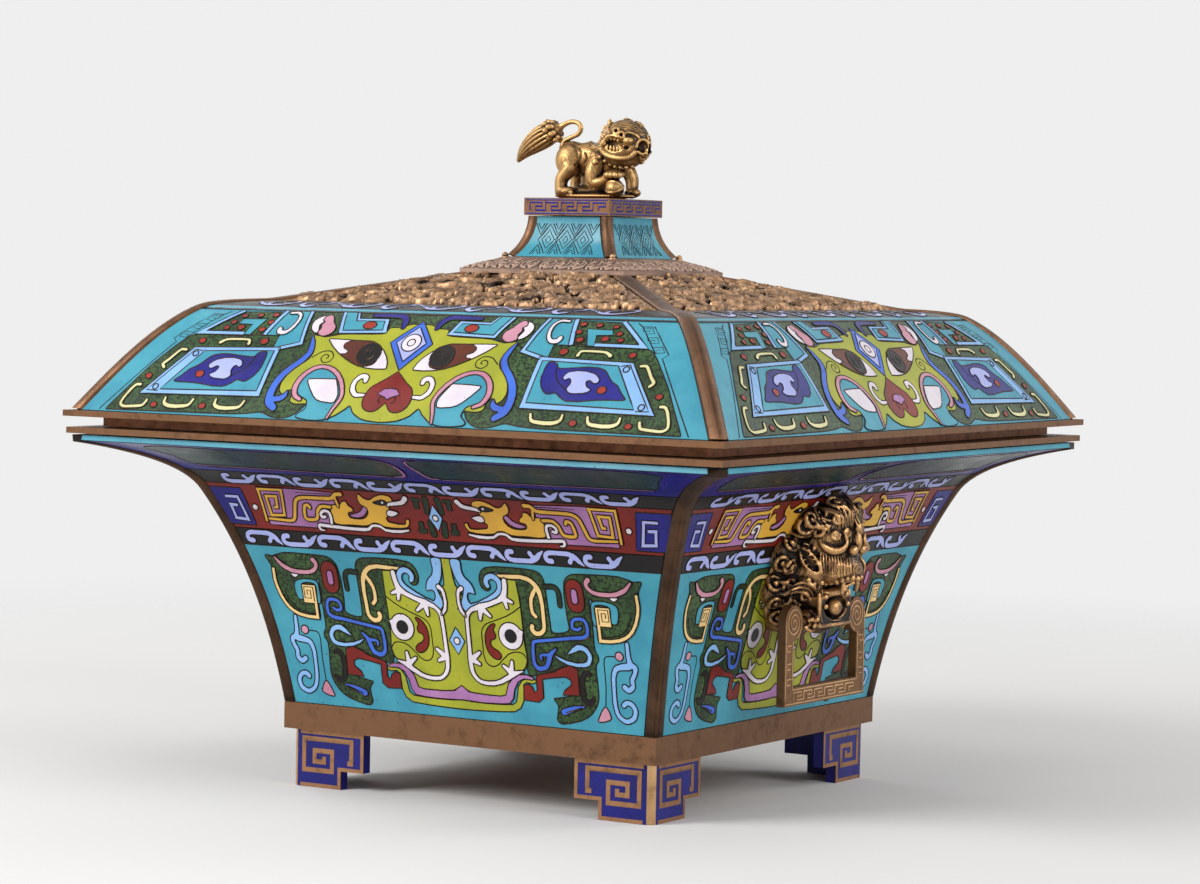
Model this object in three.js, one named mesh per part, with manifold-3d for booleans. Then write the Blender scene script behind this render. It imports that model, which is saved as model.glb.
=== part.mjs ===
// Square cloisonne incense burner with a domed lid, pierced gilt panels, lion masks and a lion finial.
// Units are millimetres, +Z is up, and the origin lies on the table under the middle of the body.
// The plan is square with four like faces: front is -Y, right is +X. The two masks sit on +X and -X.

import * as THREE from 'three';
import { mergeVertices } from 'three/addons/utils/BufferGeometryUtils.js';
import Module from 'manifold-3d';

const wasm = await Module();
wasm.setup();

// General clearances
const GAP = 0.3;
const PIN_CLEARANCE = 0.4;

// Feet
const FOOT_HEIGHT = 22.8;
const FOOT_STEP_HEIGHT = 7.4;
const FOOT_WING = 35;
const FOOT_SOLE = 24;
const FOOT_WALL = 4.5;
const FOOT_INSET = 2.5;
const FOOT_CORNER_RADIUS = 4;

// Plinth band and bottom plate
const PLINTH_HALF = 87;
const PLINTH_HEIGHT = 10.6;
const PLINTH_WALL = 8;
const BOTTOM_THICKNESS = 2.5;
const BOTTOM_DROP = 1.2;

// Body walls: their foot stands just inside the plinth and their lip just inside the rim
const WALL = 2;
const BODY_FOOT_INSET = 0.2;
const BODY_WAIST_HALF = 111.5;
const BODY_WAIST_RISE = 85;
const BODY_LIP_INSET = 1.3;
const BODY_LIP_RISE = 104;
const STRIP_WIDTH = 5;
const STRIP_PROUD = 0.8;
const STRIP_RADIUS = 1.8;

// Mouth of the body: the rim's flat edge and the collar that stands on it
const RIM_HALF = 149.3;
const RIM_WIDTH = 13.8;
const RIM_THICKNESS = 2.4;
const COLLAR_SETBACK = 3.5;
const COLLAR_WALL = 2;
const COLLAR_HEIGHT = 3.7;

// Lid: its flat edge, which laps inside the collar's outer face, and the shoulder where the scroll band ends
const LID_OVERHANG = 1;
const LID_FLANGE_THICKNESS = 2.4;
const LID_FLANGE_LAP = 1.5;
const LID_FOOT_INSET = 2.5;
const LID_BEND_HALF = 113;
const LID_BEND_RISE = 41.5;
const SHOULDER_WIDTH = 19;
const SHOULDER_RISE = 44;
const GRILLE_THICKNESS = 1.8;
const GRILLE_TOP_HALF = 37.5;
const GRILLE_RISE = 12.3;
const GRILLE_MARGIN = 3;
const GRILLE_ROWS = 4;
const HOLE_PITCH = 18;
const HOLE_RADIUS = 5.2;

// Skirt, neck and top plate
const SKIRT_LAP = 1.2;
const SKIRT_THICKNESS = 1.6;
const SKIRT_RISE = 6.6;
const SKIRT_SHELF = 1;
const NECK_FOOT_HALF = 25;
const NECK_TOP_HALF = 18.7;
const NECK_HEIGHT = 16.3;
const NECK_STRIP_WIDTH = 3.6;
const PLATE_HALF = 20.3;
const PLATE_HEIGHT = 7;

// Lion masks and bails. The lumps of a casting are given in its module.
const MASK_MODULE = 1;
const MASK_STUD_RISE = 61;
const MASK_STUD_RADIUS = 2.2;
const MASK_STUD_ROOT = 6;
const MASK_STUD_REACH = 6;
const MANE_CURLS = 13;
const MANE_HALF = 26.5;
const MANE_RISE = 21;
const NUT_RADIUS = 5;
const NUT_THICKNESS = 3;
const JAW_HALF = 15.5;
const PIVOT_REACH = 14.6;
const PIVOT_RISE = 40;
const BAIL_HALF_WIDTH = 32.5;
const BAIL_DROP = 32;
const BAIL_BAR = 7;
const BAIL_THICKNESS = 3.4;
const BAIL_CURL_RADIUS = 7;
const BAIL_PIN_RADIUS = 1.6;
const BAIL_PIN_REACH = 4;

// Finial
const LION_MODULE = 1;
const LION_STUD_RADIUS = 2;
const LION_STUD_LENGTH = 12.5;
const BALL_RADIUS = 3.7;
const PLUME_BEADS = 8;

// Half-widths that follow from the sizes above
const bodyFootHalf = PLINTH_HALF - BODY_FOOT_INSET;
const bodyLipHalf = RIM_HALF - BODY_LIP_INSET;
const rimInnerHalf = RIM_HALF - RIM_WIDTH;
const collarHalf = rimInnerHalf + COLLAR_SETBACK;
const lidFlangeHalf = RIM_HALF + LID_OVERHANG;
const lidFlangeInnerHalf = collarHalf - LID_FLANGE_LAP;
const lidFootHalf = lidFlangeHalf - LID_FOOT_INSET;
const shoulderHalf = LID_BEND_HALF - SHOULDER_WIDTH;

// Heights that follow from the sizes above
const plinthBase = FOOT_HEIGHT + GAP;
const plinthTop = plinthBase + PLINTH_HEIGHT;
const bodyBase = plinthTop + GAP;
const lipZ = bodyBase + BODY_LIP_RISE;
const rimBase = lipZ + WALL + 2 * GAP;
const rimTop = rimBase + RIM_THICKNESS;
const collarBase = rimTop + GAP;
const lidBase = collarBase + COLLAR_HEIGHT + GAP;
const lidFlangeTop = lidBase + LID_FLANGE_THICKNESS;
const lidFoot = lidFlangeTop + GAP;
const shoulderZ = lidFoot + SHOULDER_RISE;
const grilleTopZ = shoulderZ + GRILLE_RISE;
const skirtBase = grilleTopZ + GAP;
const neckBase = skirtBase + SKIRT_RISE + GAP;
const plateBase = neckBase + NECK_HEIGHT + GAP;
const plateTop = plateBase + PLATE_HEIGHT;

const FACES = ['front', 'right', 'back', 'left'];
const CORNERS = ['front_right', 'back_right', 'back_left', 'front_left'];

const gilt = { color: 0xa8743f, roughness: 0.38, metalness: 0.9 };
const darkGilt = { color: 0x7a5530, roughness: 0.45, metalness: 0.9 };
const turquoise = { color: 0x3f9fae, roughness: 0.3, metalness: 0.0 };
const cobalt = { color: 0x2a2f8c, roughness: 0.32, metalness: 0.0 };
const copper = { color: 0x7d5238, roughness: 0.5, metalness: 0.8 };

function solid(geometry) {
  const bare = geometry.clone();
  bare.deleteAttribute('normal');
  bare.deleteAttribute('uv');
  const merged = mergeVertices(bare, 1e-4);
  const corners = merged.index.array;
  const triangles = [];
  for (let i = 0; i < corners.length; i += 3) {
    const [a, b, c] = [corners[i], corners[i + 1], corners[i + 2]];
    if (a !== b && b !== c && c !== a) {
      triangles.push(a, b, c);
    }
  }
  return new wasm.Manifold(new wasm.Mesh({
    numProp: 3,
    vertProperties: new Float32Array(merged.attributes.position.array),
    triVerts: new Uint32Array(triangles),
  }));
}

function geometryOf(body) {
  const mesh = body.getMesh();
  const geometry = new THREE.BufferGeometry();
  geometry.setAttribute('position', new THREE.BufferAttribute(new Float32Array(mesh.vertProperties), 3));
  geometry.setIndex(new THREE.BufferAttribute(new Uint32Array(mesh.triVerts), 1));
  geometry.computeVertexNormals();
  return geometry;
}

function join(pieces) {
  return pieces.map(solid).reduce((whole, piece) => whole.add(piece));
}

// A profile is a list of stations {h, z, nh, nz}: half-width, height and the outward normal of the face there.
// With a level foot, its first station is cut flat, to stand on the piece below.
function profile(curves, steps, levelFoot = false) {
  const stations = [];
  curves.forEach((curve, part) => {
    for (let i = part === 0 ? 0 : 1; i <= steps; i += 1) {
      const t = i / steps;
      const point = curve.getPoint(t);
      const tangent = curve.getTangent(t);
      stations.push({ h: point.x, z: point.y, nh: tangent.y, nz: -tangent.x });
    }
  });
  if (levelFoot) {
    stations[0].nh = 1 / stations[0].nh;
    stations[0].nz = 0;
  }
  return stations;
}

// A curve from one half-width and height to another. Its two pulls are shares of the run and of the rise.
function sweep([h0, z0], [h1, z1], pulls) {
  const at = ([u, v]) => new THREE.Vector2(THREE.MathUtils.lerp(h0, h1, u), THREE.MathUtils.lerp(z0, z1, v));
  return new THREE.CubicBezierCurve(at([0, 0]), at(pulls[0]), at(pulls[1]), at([1, 1]));
}

// The body's cavetto face: nearly upright at the foot, then flaring to an almost level lip.
const bodyFoot = [bodyFootHalf, bodyBase];
const bodyWaist = [BODY_WAIST_HALF, bodyBase + BODY_WAIST_RISE];
const bodyProfile = profile([
  sweep(bodyFoot, bodyWaist, [[0.13, 0.25], [0.372, 0.64]]),
  sweep(bodyWaist, [bodyLipHalf, lipZ], [[0.115, 0.447], [0.425, 0.768]]),
], 7);

// The lid's domed face: a steep side that rolls over into the scroll band under the pierced panels.
const lidBend = [LID_BEND_HALF, lidFoot + LID_BEND_RISE];
const lidProfile = profile([
  sweep([lidFootHalf, lidFoot], lidBend, [[0.273, 0.341], [0.626, 0.817]]),
  sweep(lidBend, [shoulderHalf, shoulderZ], [[0.2, 0.7], [0.65, 0.9]]),
], 6, true);

// A ridge strip runs over the lid's arris and on between two pierced panels, up to the skirt.
const ridgeTopHalf = GRILLE_TOP_HALF + SKIRT_LAP + 2 * GAP;
const ridgeTopZ = grilleTopZ - ((ridgeTopHalf - GRILLE_TOP_HALF) * GRILLE_RISE) / (shoulderHalf - GRILLE_TOP_HALF);
const ridgeProfile = lidProfile.slice(0, -1).concat(profile([
  new THREE.LineCurve(new THREE.Vector2(shoulderHalf, shoulderZ), new THREE.Vector2(ridgeTopHalf, ridgeTopZ)),
], 1));

const neckProfile = profile([
  sweep([NECK_FOOT_HALF, neckBase], [NECK_TOP_HALF, neckBase + NECK_HEIGHT], [[0.635, 0.267], [0.952, 0.6]]),
], 5, true);

// A skin carries one closed cross-section along the stations of a profile. place turns a section point and a
// station into a point, and outline is the section laid flat, for its end caps.
function skin(section, outline, stations, place) {
  const count = section.length;
  const positions = stations.flatMap((station) => section.flatMap((point) => place(point, station)));
  const index = [];
  for (let s = 0; s + 1 < stations.length; s += 1) {
    for (let i = 0; i < count; i += 1) {
      const here = s * count + i;
      const next = s * count + ((i + 1) % count);
      index.push(here, next, next + count, here, next + count, here + count);
    }
  }
  const last = (stations.length - 1) * count;
  THREE.ShapeUtils.triangulateShape(outline, []).forEach(([i, j, k]) => {
    index.push(i, k, j, last + i, last + j, last + k);
  });
  const geometry = new THREE.BufferGeometry();
  geometry.setAttribute('position', new THREE.Float32BufferAttribute(positions, 3));
  geometry.setIndex(index);
  return geometry;
}

// Wall of the front face between its two corner strips.
function wallPanel(stations, inset) {
  const section = [{ side: -1, p: 0 }, { side: 1, p: 0 }, { side: 1, p: -WALL }, { side: -1, p: -WALL }];
  const outline = section.map(({ side, p }) => new THREE.Vector2(side, -p));
  return skin(section, outline, stations, ({ side, p }, { h, z, nh, nz }) => {
    const half = h + p * nh;
    return [side * (half - inset), -half, z + p * nz];
  });
}

// Rounded gilt strip over the front right arris: a and b are the distances back from it along the two faces.
function cornerStrip(stations, width) {
  const arc = [15, 45, 75].map((degrees) => {
    const angle = THREE.MathUtils.degToRad(degrees);
    return { a: STRIP_RADIUS * (1 - Math.sin(angle)), b: STRIP_RADIUS * (1 - Math.cos(angle)), p: STRIP_PROUD };
  });
  const section = [
    { a: width, b: 0, p: 0 }, { a: width - STRIP_PROUD, b: 0, p: STRIP_PROUD }, ...arc,
    { a: 0, b: width - STRIP_PROUD, p: STRIP_PROUD }, { a: 0, b: width, p: 0 },
    { a: 0, b: width, p: -WALL }, { a: 0, b: 0, p: -WALL }, { a: width, b: 0, p: -WALL },
  ];
  const outline = section.map(({ a, b, p }) => new THREE.Vector2(p - a, b - p));
  return skin(section, outline, stations, ({ a, b, p }, { h, z, nh, nz }) => {
    const half = h + p * nh;
    return [half - a, b - half, z + p * nz];
  });
}

// Square ring, shell or block from a closed list of [half-width, height] points.
function squareRing(points) {
  const loop = points.concat([points[0]]).map(([h, z]) => new THREE.Vector2(h * Math.SQRT2, z));
  const geometry = new THREE.LatheGeometry(loop, 4, Math.PI / 4);
  geometry.rotateX(Math.PI / 2);
  return geometry;
}

function band(outer, inner, base, top) {
  return squareRing([[inner, base], [outer, base], [outer, top], [inner, top]]);
}

function ellipsoid(center, radii, detail = 6) {
  const geometry = new THREE.SphereGeometry(1, detail, Math.round(detail * 0.7));
  geometry.scale(...radii);
  geometry.translate(...center);
  return geometry;
}

function rod(radius, length, sides = 16) {
  return new THREE.CylinderGeometry(radius, radius, length, sides);
}

function extrude(shape, depth) {
  return new THREE.ExtrudeGeometry(shape, { depth, bevelEnabled: false, curveSegments: 8 });
}

function tube(points, radius, steps) {
  const ring = new THREE.Shape();
  ring.absarc(0, 0, radius, 0, 2 * Math.PI, false);
  const path = new THREE.CatmullRomCurve3(points.map((point) => new THREE.Vector3(...point)));
  return new THREE.ExtrudeGeometry(ring, { steps, extrudePath: path, bevelEnabled: false, curveSegments: 3 });
}

// One foot: an L in plan with a rounded outer corner, stepped up at the end of each wing.
function footGeometry() {
  const face = PLINTH_HALF - FOOT_INSET;
  const round = face - FOOT_CORNER_RADIUS;
  const plan = new THREE.Shape();
  plan.moveTo(face - FOOT_WING, -face);
  plan.lineTo(round, -face);
  plan.absarc(round, -round, FOOT_CORNER_RADIUS, -Math.PI / 2, 0, false);
  plan.lineTo(face, FOOT_WING - face);
  plan.lineTo(face - FOOT_WALL, FOOT_WING - face);
  plan.lineTo(face - FOOT_WALL, FOOT_WALL - face);
  plan.lineTo(face - FOOT_WING, FOOT_WALL - face);
  const reach = FOOT_WING - FOOT_SOLE;
  const notch = new THREE.BoxGeometry(2 * reach, 4 * FOOT_WALL, 2 * FOOT_STEP_HEIGHT);
  const along = notch.clone().translate(face - FOOT_SOLE - reach, -face, 0);
  const across = notch.clone().rotateZ(Math.PI / 2).translate(face, reach + FOOT_SOLE - face, 0);
  return geometryOf(solid(extrude(plan, FOOT_HEIGHT)).subtract(solid(along)).subtract(solid(across)));
}

function stationAt(stations, z) {
  const upper = stations.findIndex((station) => station.z >= z);
  const [low, high] = [stations[upper - 1], stations[upper]];
  const mix = (key) => THREE.MathUtils.lerp(low[key], high[key], (z - low.z) / (high.z - low.z));
  return { h: mix('h'), z, nh: mix('nh'), nz: mix('nz') };
}

// The bails of the right mask swing about the line through this point, across the middle of the wall.
const pivotZ = bodyBase + PIVOT_RISE;
const pivotX = stationAt(bodyProfile, pivotZ).h + PIVOT_REACH;

// The stud of a mask passes the right wall square to it: pieces made along +X from the wall are laid on it here.
const stud = stationAt(bodyProfile, bodyBase + MASK_STUD_RISE);

function onStud(geometry) {
  geometry.rotateY(-Math.atan2(stud.nz, stud.nh));
  return geometry.translate(stud.h, 0, stud.z);
}

function studRod(radius) {
  const length = MASK_STUD_ROOT + WALL + MASK_STUD_REACH;
  const geometry = rod(radius, length).rotateZ(Math.PI / 2);
  return onStud(geometry.translate(MASK_STUD_ROOT - length / 2, 0, 0));
}

function hexNut(bore) {
  const hole = rod(bore + PIN_CLEARANCE / 2, 2 * NUT_THICKNESS);
  return geometryOf(solid(rod(NUT_RADIUS, NUT_THICKNESS, 6)).subtract(solid(hole)));
}

function maskNut() {
  const geometry = hexNut(MASK_STUD_RADIUS).rotateZ(Math.PI / 2);
  return onStud(geometry.translate(-WALL - GAP - NUT_THICKNESS / 2, 0, 0));
}

// Wall with the hole for the stud of its mask. It is cut in the right face's place and turned back to the front.
function studdedWall() {
  const panel = wallPanel(bodyProfile, STRIP_WIDTH + GAP).rotateZ(Math.PI / 2);
  const cut = solid(panel).subtract(solid(studRod(MASK_STUD_RADIUS + PIN_CLEARANCE)));
  return geometryOf(cut).rotateZ(-Math.PI / 2);
}

// Solid block of the body's outside with the seat clearance of what is fitted to it.
function bodyBlock() {
  const face = bodyProfile.map(({ h, z, nh, nz }) => [h + GAP * nh, z + GAP * nz]);
  return solid(squareRing([[0, bodyProfile[0].z], ...face, [0, lipZ]]));
}

// Lion mask for the right face, cast in one piece: domed head, mane, brows, snout and a jaw with a pearl.
function maskGeometry() {
  const m = MASK_MODULE;
  const lump = ([x, y, z], radii, detail) => ellipsoid(
    [pivotX + m * x, m * y, pivotZ + m * z], radii.map((radius) => m * radius), detail);
  const pieces = [
    lump([-10, 0, 23], [13, 30, 27], 8),
    lump([-13, 0, 6], [8, 25, 12], 7),
    lump([5, 0, 40], [10, 13, 8]),
    lump([1, 0, 31], [14, 16, 15], 8),
    lump([7, 0, 20], [11, 12, 7], 7),
    lump([14, 0, 27], [5, 5, 5]),
    lump([-2, 0, 6], [9, 12, 12], 7),
    lump([-2, 0, -0.5], [12, JAW_HALF / m, 6], 8),
    lump([6, 0, 4], [4.6, 4.6, 4.6]),
  ];
  for (const side of [-1, 1]) {
    pieces.push(
      lump([9, side * 8, 31], [4.5, 4.2, 4.2]),
      lump([5, side * 11, 36], [5, 5, 4]),
      lump([10, side * 4.5, 37], [4.5, 4, 4]),
      lump([-2, side * 14, 41], [5, 5, 5]),
      lump([3, side * 15, 19], [7, 6, 6.5]),
      lump([-5, side * 21.5, 27], [4, 3.5, 6.5]),
      lump([12, side * 6.5, 15.5], [5, 6, 4]),
    );
  }
  for (let i = 0; i < MANE_CURLS; i += 1) {
    const angle = THREE.MathUtils.degToRad(-60 + (300 * i) / (MANE_CURLS - 1));
    const z = pivotZ + MANE_RISE + m * 24 * Math.sin(angle);
    const onWall = stationAt(bodyProfile, z).h + m;
    pieces.push(ellipsoid([onWall, MANE_HALF * Math.cos(angle), z], [5.5 * m, 7 * m, 7 * m], 5));
  }
  const bore = rod(BAIL_PIN_RADIUS + PIN_CLEARANCE, 2 * (BAIL_PIN_REACH + PIN_CLEARANCE));
  let mask = join(pieces).subtract(bodyBlock()).add(solid(studRod(MASK_STUD_RADIUS)));
  for (const side of [-1, 1]) {
    mask = mask.subtract(solid(bore.clone().translate(pivotX, side * JAW_HALF, pivotZ)));
  }
  return geometryOf(mask);
}

// Hanging bail of the right mask: a flat U whose ends curl into discs, with two stub pins sprung into the jaw.
function bailGeometry() {
  const [outer, inner, foot] = [BAIL_HALF_WIDTH, BAIL_HALF_WIDTH - BAIL_BAR, -BAIL_DROP];
  const frame = new THREE.Shape([
    [-outer, 0], [-outer, foot], [outer, foot], [outer, 0],
    [inner, 0], [inner, foot + BAIL_BAR], [-inner, foot + BAIL_BAR], [-inner, 0],
  ].map(([y, z]) => new THREE.Vector2(y, z)));
  let bail = solid(extrude(frame, BAIL_THICKNESS));
  const curl = outer - BAIL_CURL_RADIUS;
  const pinEnd = JAW_HALF - BAIL_PIN_REACH;
  for (const side of [-1, 1]) {
    const disc = rod(BAIL_CURL_RADIUS, BAIL_THICKNESS, 20).rotateX(Math.PI / 2);
    const pin = rod(BAIL_PIN_RADIUS, curl - pinEnd, 12).rotateZ(Math.PI / 2);
    bail = bail.add(solid(disc.translate(side * curl, 0, BAIL_THICKNESS / 2)));
    bail = bail.add(solid(pin.translate(side * (curl + pinEnd) / 2, 0, BAIL_THICKNESS / 2)));
  }
  const geometry = geometryOf(bail).translate(0, 0, -BAIL_THICKNESS / 2);
  geometry.rotateX(Math.PI / 2).rotateZ(Math.PI / 2);
  return geometry.translate(pivotX, 0, pivotZ);
}

// A crescent hole of the pierced panels, laid at (x, y) and turned.
function crescent(x, y, radius, turn) {
  const steps = 3;
  const points = [];
  for (let i = 0; i <= steps; i += 1) {
    const angle = turn + (Math.PI * 1.25 * i) / steps;
    points.push(new THREE.Vector2(x + radius * Math.cos(angle), y + 0.8 * radius * Math.sin(angle)));
  }
  for (let i = steps - 1; i > 0; i -= 1) {
    const angle = turn + (Math.PI * 1.25 * i) / steps;
    const hollow = radius * (0.35 + 0.25 * Math.cos(angle - turn));
    points.push(new THREE.Vector2(x + hollow * Math.cos(angle), y + 0.8 * hollow * Math.sin(angle)));
  }
  return new THREE.Path(points);
}

// Pierced gilt panel of the front face, between two ridge strips, with staggered rows of crescent holes.
function grilleGeometry() {
  const run = shoulderHalf - GRILLE_TOP_HALF;
  const slope = Math.hypot(run, GRILLE_RISE);
  const inset = STRIP_WIDTH + GAP + (WALL * GRILLE_RISE) / slope;
  const halfAt = (y) => shoulderHalf - inset - (run * y) / slope;
  const shape = new THREE.Shape([
    [-halfAt(GAP), GAP], [halfAt(GAP), GAP], [halfAt(slope), slope], [-halfAt(slope), slope],
  ].map(([x, y]) => new THREE.Vector2(x, y)));
  const rowPitch = (slope - 2 * GRILLE_MARGIN) / GRILLE_ROWS;
  for (let row = 0; row < GRILLE_ROWS; row += 1) {
    const y = GRILLE_MARGIN + (row + 0.5) * rowPitch;
    const room = halfAt(y) - GRILLE_MARGIN - HOLE_RADIUS;
    const count = 1 + Math.floor((2 * room) / HOLE_PITCH);
    for (let i = 0; i < count; i += 1) {
      const x = (i - (count - 1) / 2) * HOLE_PITCH;
      shape.holes.push(crescent(x, y, HOLE_RADIUS, (row + i) % 2 ? 0.4 : 3.6));
    }
  }
  const geometry = extrude(shape, GRILLE_THICKNESS).translate(0, 0, -GRILLE_THICKNESS);
  geometry.rotateX(Math.atan2(GRILLE_RISE, run));
  return geometry.translate(0, -shoulderHalf, shoulderZ);
}

// Chased skirt that laps over the pierced panels and carries the neck.
function skirtGeometry() {
  const foot = GRILLE_TOP_HALF + SKIRT_LAP;
  const shelf = NECK_FOOT_HALF + SKIRT_SHELF;
  const bore = NECK_FOOT_HALF - WALL - SKIRT_SHELF;
  const low = skirtBase + SKIRT_THICKNESS;
  const top = skirtBase + SKIRT_RISE;
  const curve = new THREE.QuadraticBezierCurve(
    new THREE.Vector2(foot, low),
    new THREE.Vector2(THREE.MathUtils.lerp(shelf, foot, 0.4), THREE.MathUtils.lerp(low, top, 0.36)),
    new THREE.Vector2(shelf, top));
  const outer = curve.getPoints(5).map((point) => [point.x, point.y]);
  const under = outer.map(([h, z]) => [h, z - SKIRT_THICKNESS]).reverse();
  return squareRing([...outer, [bore, top], [bore, top - SKIRT_THICKNESS], ...under]);
}

// Guardian lion on a thin cast base, seen from the front with its tail to the left and its head turned to -Y.
function lionGeometry() {
  const base = plateTop + GAP;
  const m = LION_MODULE;
  const ball = BALL_RADIUS / m;
  const at = (x, y, z) => [m * x, m * y, base + m * z];
  const lump = (center, radii, detail) => ellipsoid(center, radii.map((radius) => m * radius), detail);
  const limb = (points, radius, steps) => tube(points, m * radius, steps);
  const head = [15, -3, 21.5];
  const look = new THREE.Vector3(-0.3, -0.94, -0.15).normalize();
  const side = new THREE.Vector3(0, 0, 1).cross(look).normalize();
  const onHead = (forward, across, up) => at(
    head[0] + forward * look.x + across * side.x, head[1] + forward * look.y + across * side.y,
    head[2] + forward * look.z + up);
  const pieces = [
    lump(at(1, -1, 0.9), [19, 8.5, 1.5], 10),
    lump(at(-10.5, 0, 16), [7, 6.8, 7.5], 7),
    lump(at(-2, 0, 17.5), [10, 5.8, 6.2], 7),
    lump(at(7, -0.5, 16.5), [7.5, 7, 8.5], 7),
    lump(at(...head), [9.5, 9.5, 10], 9),
    lump(onHead(7.5, 0, -3), [5, 5, 4]),
    lump(onHead(11, 0, 0.5), [2.2, 2.2, 1.8], 6),
    lump(onHead(6.5, 0, -7.5), [4.6, 4.6, 1.8]),
    lump(at(16.5, -9.5, ball), [ball, ball, ball], 7),
    lump(at(16, -9.2, 2 * ball + 1), [3.6, 3, 1.9]),
    limb([at(9, -5, 14), at(7.5, -8.5, 9.5), at(12, -9.5, 8), at(16, -9, 8.6)], 2.2, 4),
    limb([at(9, 5, 14), at(12, 6, 8), at(13, 5.5, 1.5)], 2.6, 3),
    lump(at(14.5, 5.5, 2), [3.6, 2.8, 2]),
    limb([at(-15, 0, 20), at(-11, 0, 25.5), at(-8.5, 0, 29), at(-11, 0, 31.5), at(-17, 0, 29.5)], 1.1, 10),
    lump(at(-18, 0, 28.5), [4.6, 4.4, 4.6]),
  ];
  const plume = new THREE.QuadraticBezierCurve3(
    new THREE.Vector3(...at(-18, 0, 28.5)), new THREE.Vector3(...at(-31, 0, 28)),
    new THREE.Vector3(...at(-36, 0, 15.5)));
  for (let i = 1; i <= PLUME_BEADS; i += 1) {
    const t = 1 - (1 - i / PLUME_BEADS) ** 2;
    const radius = THREE.MathUtils.lerp(4.4, 0.9, t);
    pieces.push(lump(plume.getPoint(t).toArray(), [radius * 1.2, radius * 0.8, radius * 1.2], 6));
  }
  for (const flank of [-1, 1]) {
    pieces.push(
      lump(at(-10, flank * 5, 13.5), [5, 3.6, 6.5]),
      limb([at(-9, flank * 5.5, 11), at(-12, flank * 6, 6), at(-12, flank * 6, 1.5)], 2.5, 3),
      lump(at(-10, flank * 6, 2), [4, 2.8, 2]),
      lump(onHead(6.5, flank * 4, 3.5), [2.2, 2.2, 2.2], 6),
      lump(onHead(5, flank * 5, 7), [3, 3, 2.4], 6),
      lump(onHead(-1, flank * 9.5, 0.5), [2.6, 2.6, 3.6], 6),
      lump(onHead(2, flank * 6.5, -7), [3, 3, 3], 6),
    );
  }
  const peg = rod(LION_STUD_RADIUS, LION_STUD_LENGTH).rotateX(Math.PI / 2);
  pieces.push(peg.translate(0, 0, base + m - LION_STUD_LENGTH / 2));
  const depth = 4 * PLATE_HALF;
  const floor = new THREE.BoxGeometry(depth, depth, depth).translate(0, 0, base - depth / 2);
  const cast = join(pieces.slice(0, -1)).subtract(solid(floor)).add(solid(pieces.at(-1)));
  return geometryOf(cast);
}

function plateGeometry() {
  const block = new THREE.BoxGeometry(2 * PLATE_HALF, 2 * PLATE_HALF, PLATE_HEIGHT);
  const hole = rod(LION_STUD_RADIUS + PIN_CLEARANCE, 2 * PLATE_HEIGHT).rotateX(Math.PI / 2);
  return geometryOf(solid(block).subtract(solid(hole))).translate(0, 0, plateBase + PLATE_HEIGHT / 2);
}

function bottomGeometry() {
  const half = PLINTH_HALF - PLINTH_WALL - GAP;
  const top = plinthTop - BOTTOM_DROP;
  return new THREE.BoxGeometry(2 * half, 2 * half, BOTTOM_THICKNESS).translate(0, 0, top - BOTTOM_THICKNESS / 2);
}

const censer = new THREE.Group();
const bodyGroup = new THREE.Group();
const lidGroup = new THREE.Group();
censer.add(bodyGroup, lidGroup);

function place(group, name, geometry, finish, quarterTurns = 0) {
  const mesh = new THREE.Mesh(geometry, new THREE.MeshStandardMaterial(finish));
  mesh.name = name;
  mesh.rotation.z = (quarterTurns * Math.PI) / 2;
  group.add(mesh);
}

// Body
place(bodyGroup, 'plinth_band', band(PLINTH_HALF, PLINTH_HALF - PLINTH_WALL, plinthBase, plinthTop), gilt);
place(bodyGroup, 'bottom_plate', bottomGeometry(), copper);
place(bodyGroup, 'rim_flange', band(RIM_HALF, rimInnerHalf, rimBase, rimTop), gilt);
place(bodyGroup, 'rim_collar',
  band(collarHalf, collarHalf - COLLAR_WALL, collarBase, collarBase + COLLAR_HEIGHT), copper);

// Lid
place(lidGroup, 'lid_flange', band(lidFlangeHalf, lidFlangeInnerHalf, lidBase, lidFlangeTop), gilt);
place(lidGroup, 'lid_skirt', skirtGeometry(), darkGilt);
place(lidGroup, 'top_plate', plateGeometry(), gilt);
place(lidGroup, 'lion_finial', lionGeometry(), gilt);
place(lidGroup, 'finial_nut',
  hexNut(LION_STUD_RADIUS).rotateX(Math.PI / 2).translate(0, 0, plateBase - GAP - NUT_THICKNESS / 2), copper);

// What repeats on the four faces and at the four corners
FACES.forEach((face, turn) => {
  const masked = turn % 2 === 1;
  const wall = masked ? studdedWall() : wallPanel(bodyProfile, STRIP_WIDTH + GAP);
  place(bodyGroup, `body_panel_${face}`, wall, turquoise, turn);
  place(lidGroup, `lid_panel_${face}`, wallPanel(lidProfile, STRIP_WIDTH + GAP), turquoise, turn);
  place(lidGroup, `grille_${face}`, grilleGeometry(), darkGilt, turn);
  place(lidGroup, `neck_panel_${face}`, wallPanel(neckProfile, NECK_STRIP_WIDTH + GAP), turquoise, turn);
  if (masked) {
    place(bodyGroup, `mask_${face}`, maskGeometry(), darkGilt, turn - 1);
    place(bodyGroup, `mask_nut_${face}`, maskNut(), copper, turn - 1);
    place(bodyGroup, `bail_${face}`, bailGeometry(), gilt, turn - 1);
  }
});
CORNERS.forEach((corner, turn) => {
  place(bodyGroup, `foot_${corner}`, footGeometry(), cobalt, turn);
  place(bodyGroup, `corner_strip_${corner}`, cornerStrip(bodyProfile, STRIP_WIDTH), gilt, turn);
  place(lidGroup, `ridge_strip_${corner}`, cornerStrip(ridgeProfile, STRIP_WIDTH), gilt, turn);
  place(lidGroup, `neck_strip_${corner}`, cornerStrip(neckProfile, NECK_STRIP_WIDTH), gilt, turn);
});

export default censer;
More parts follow.
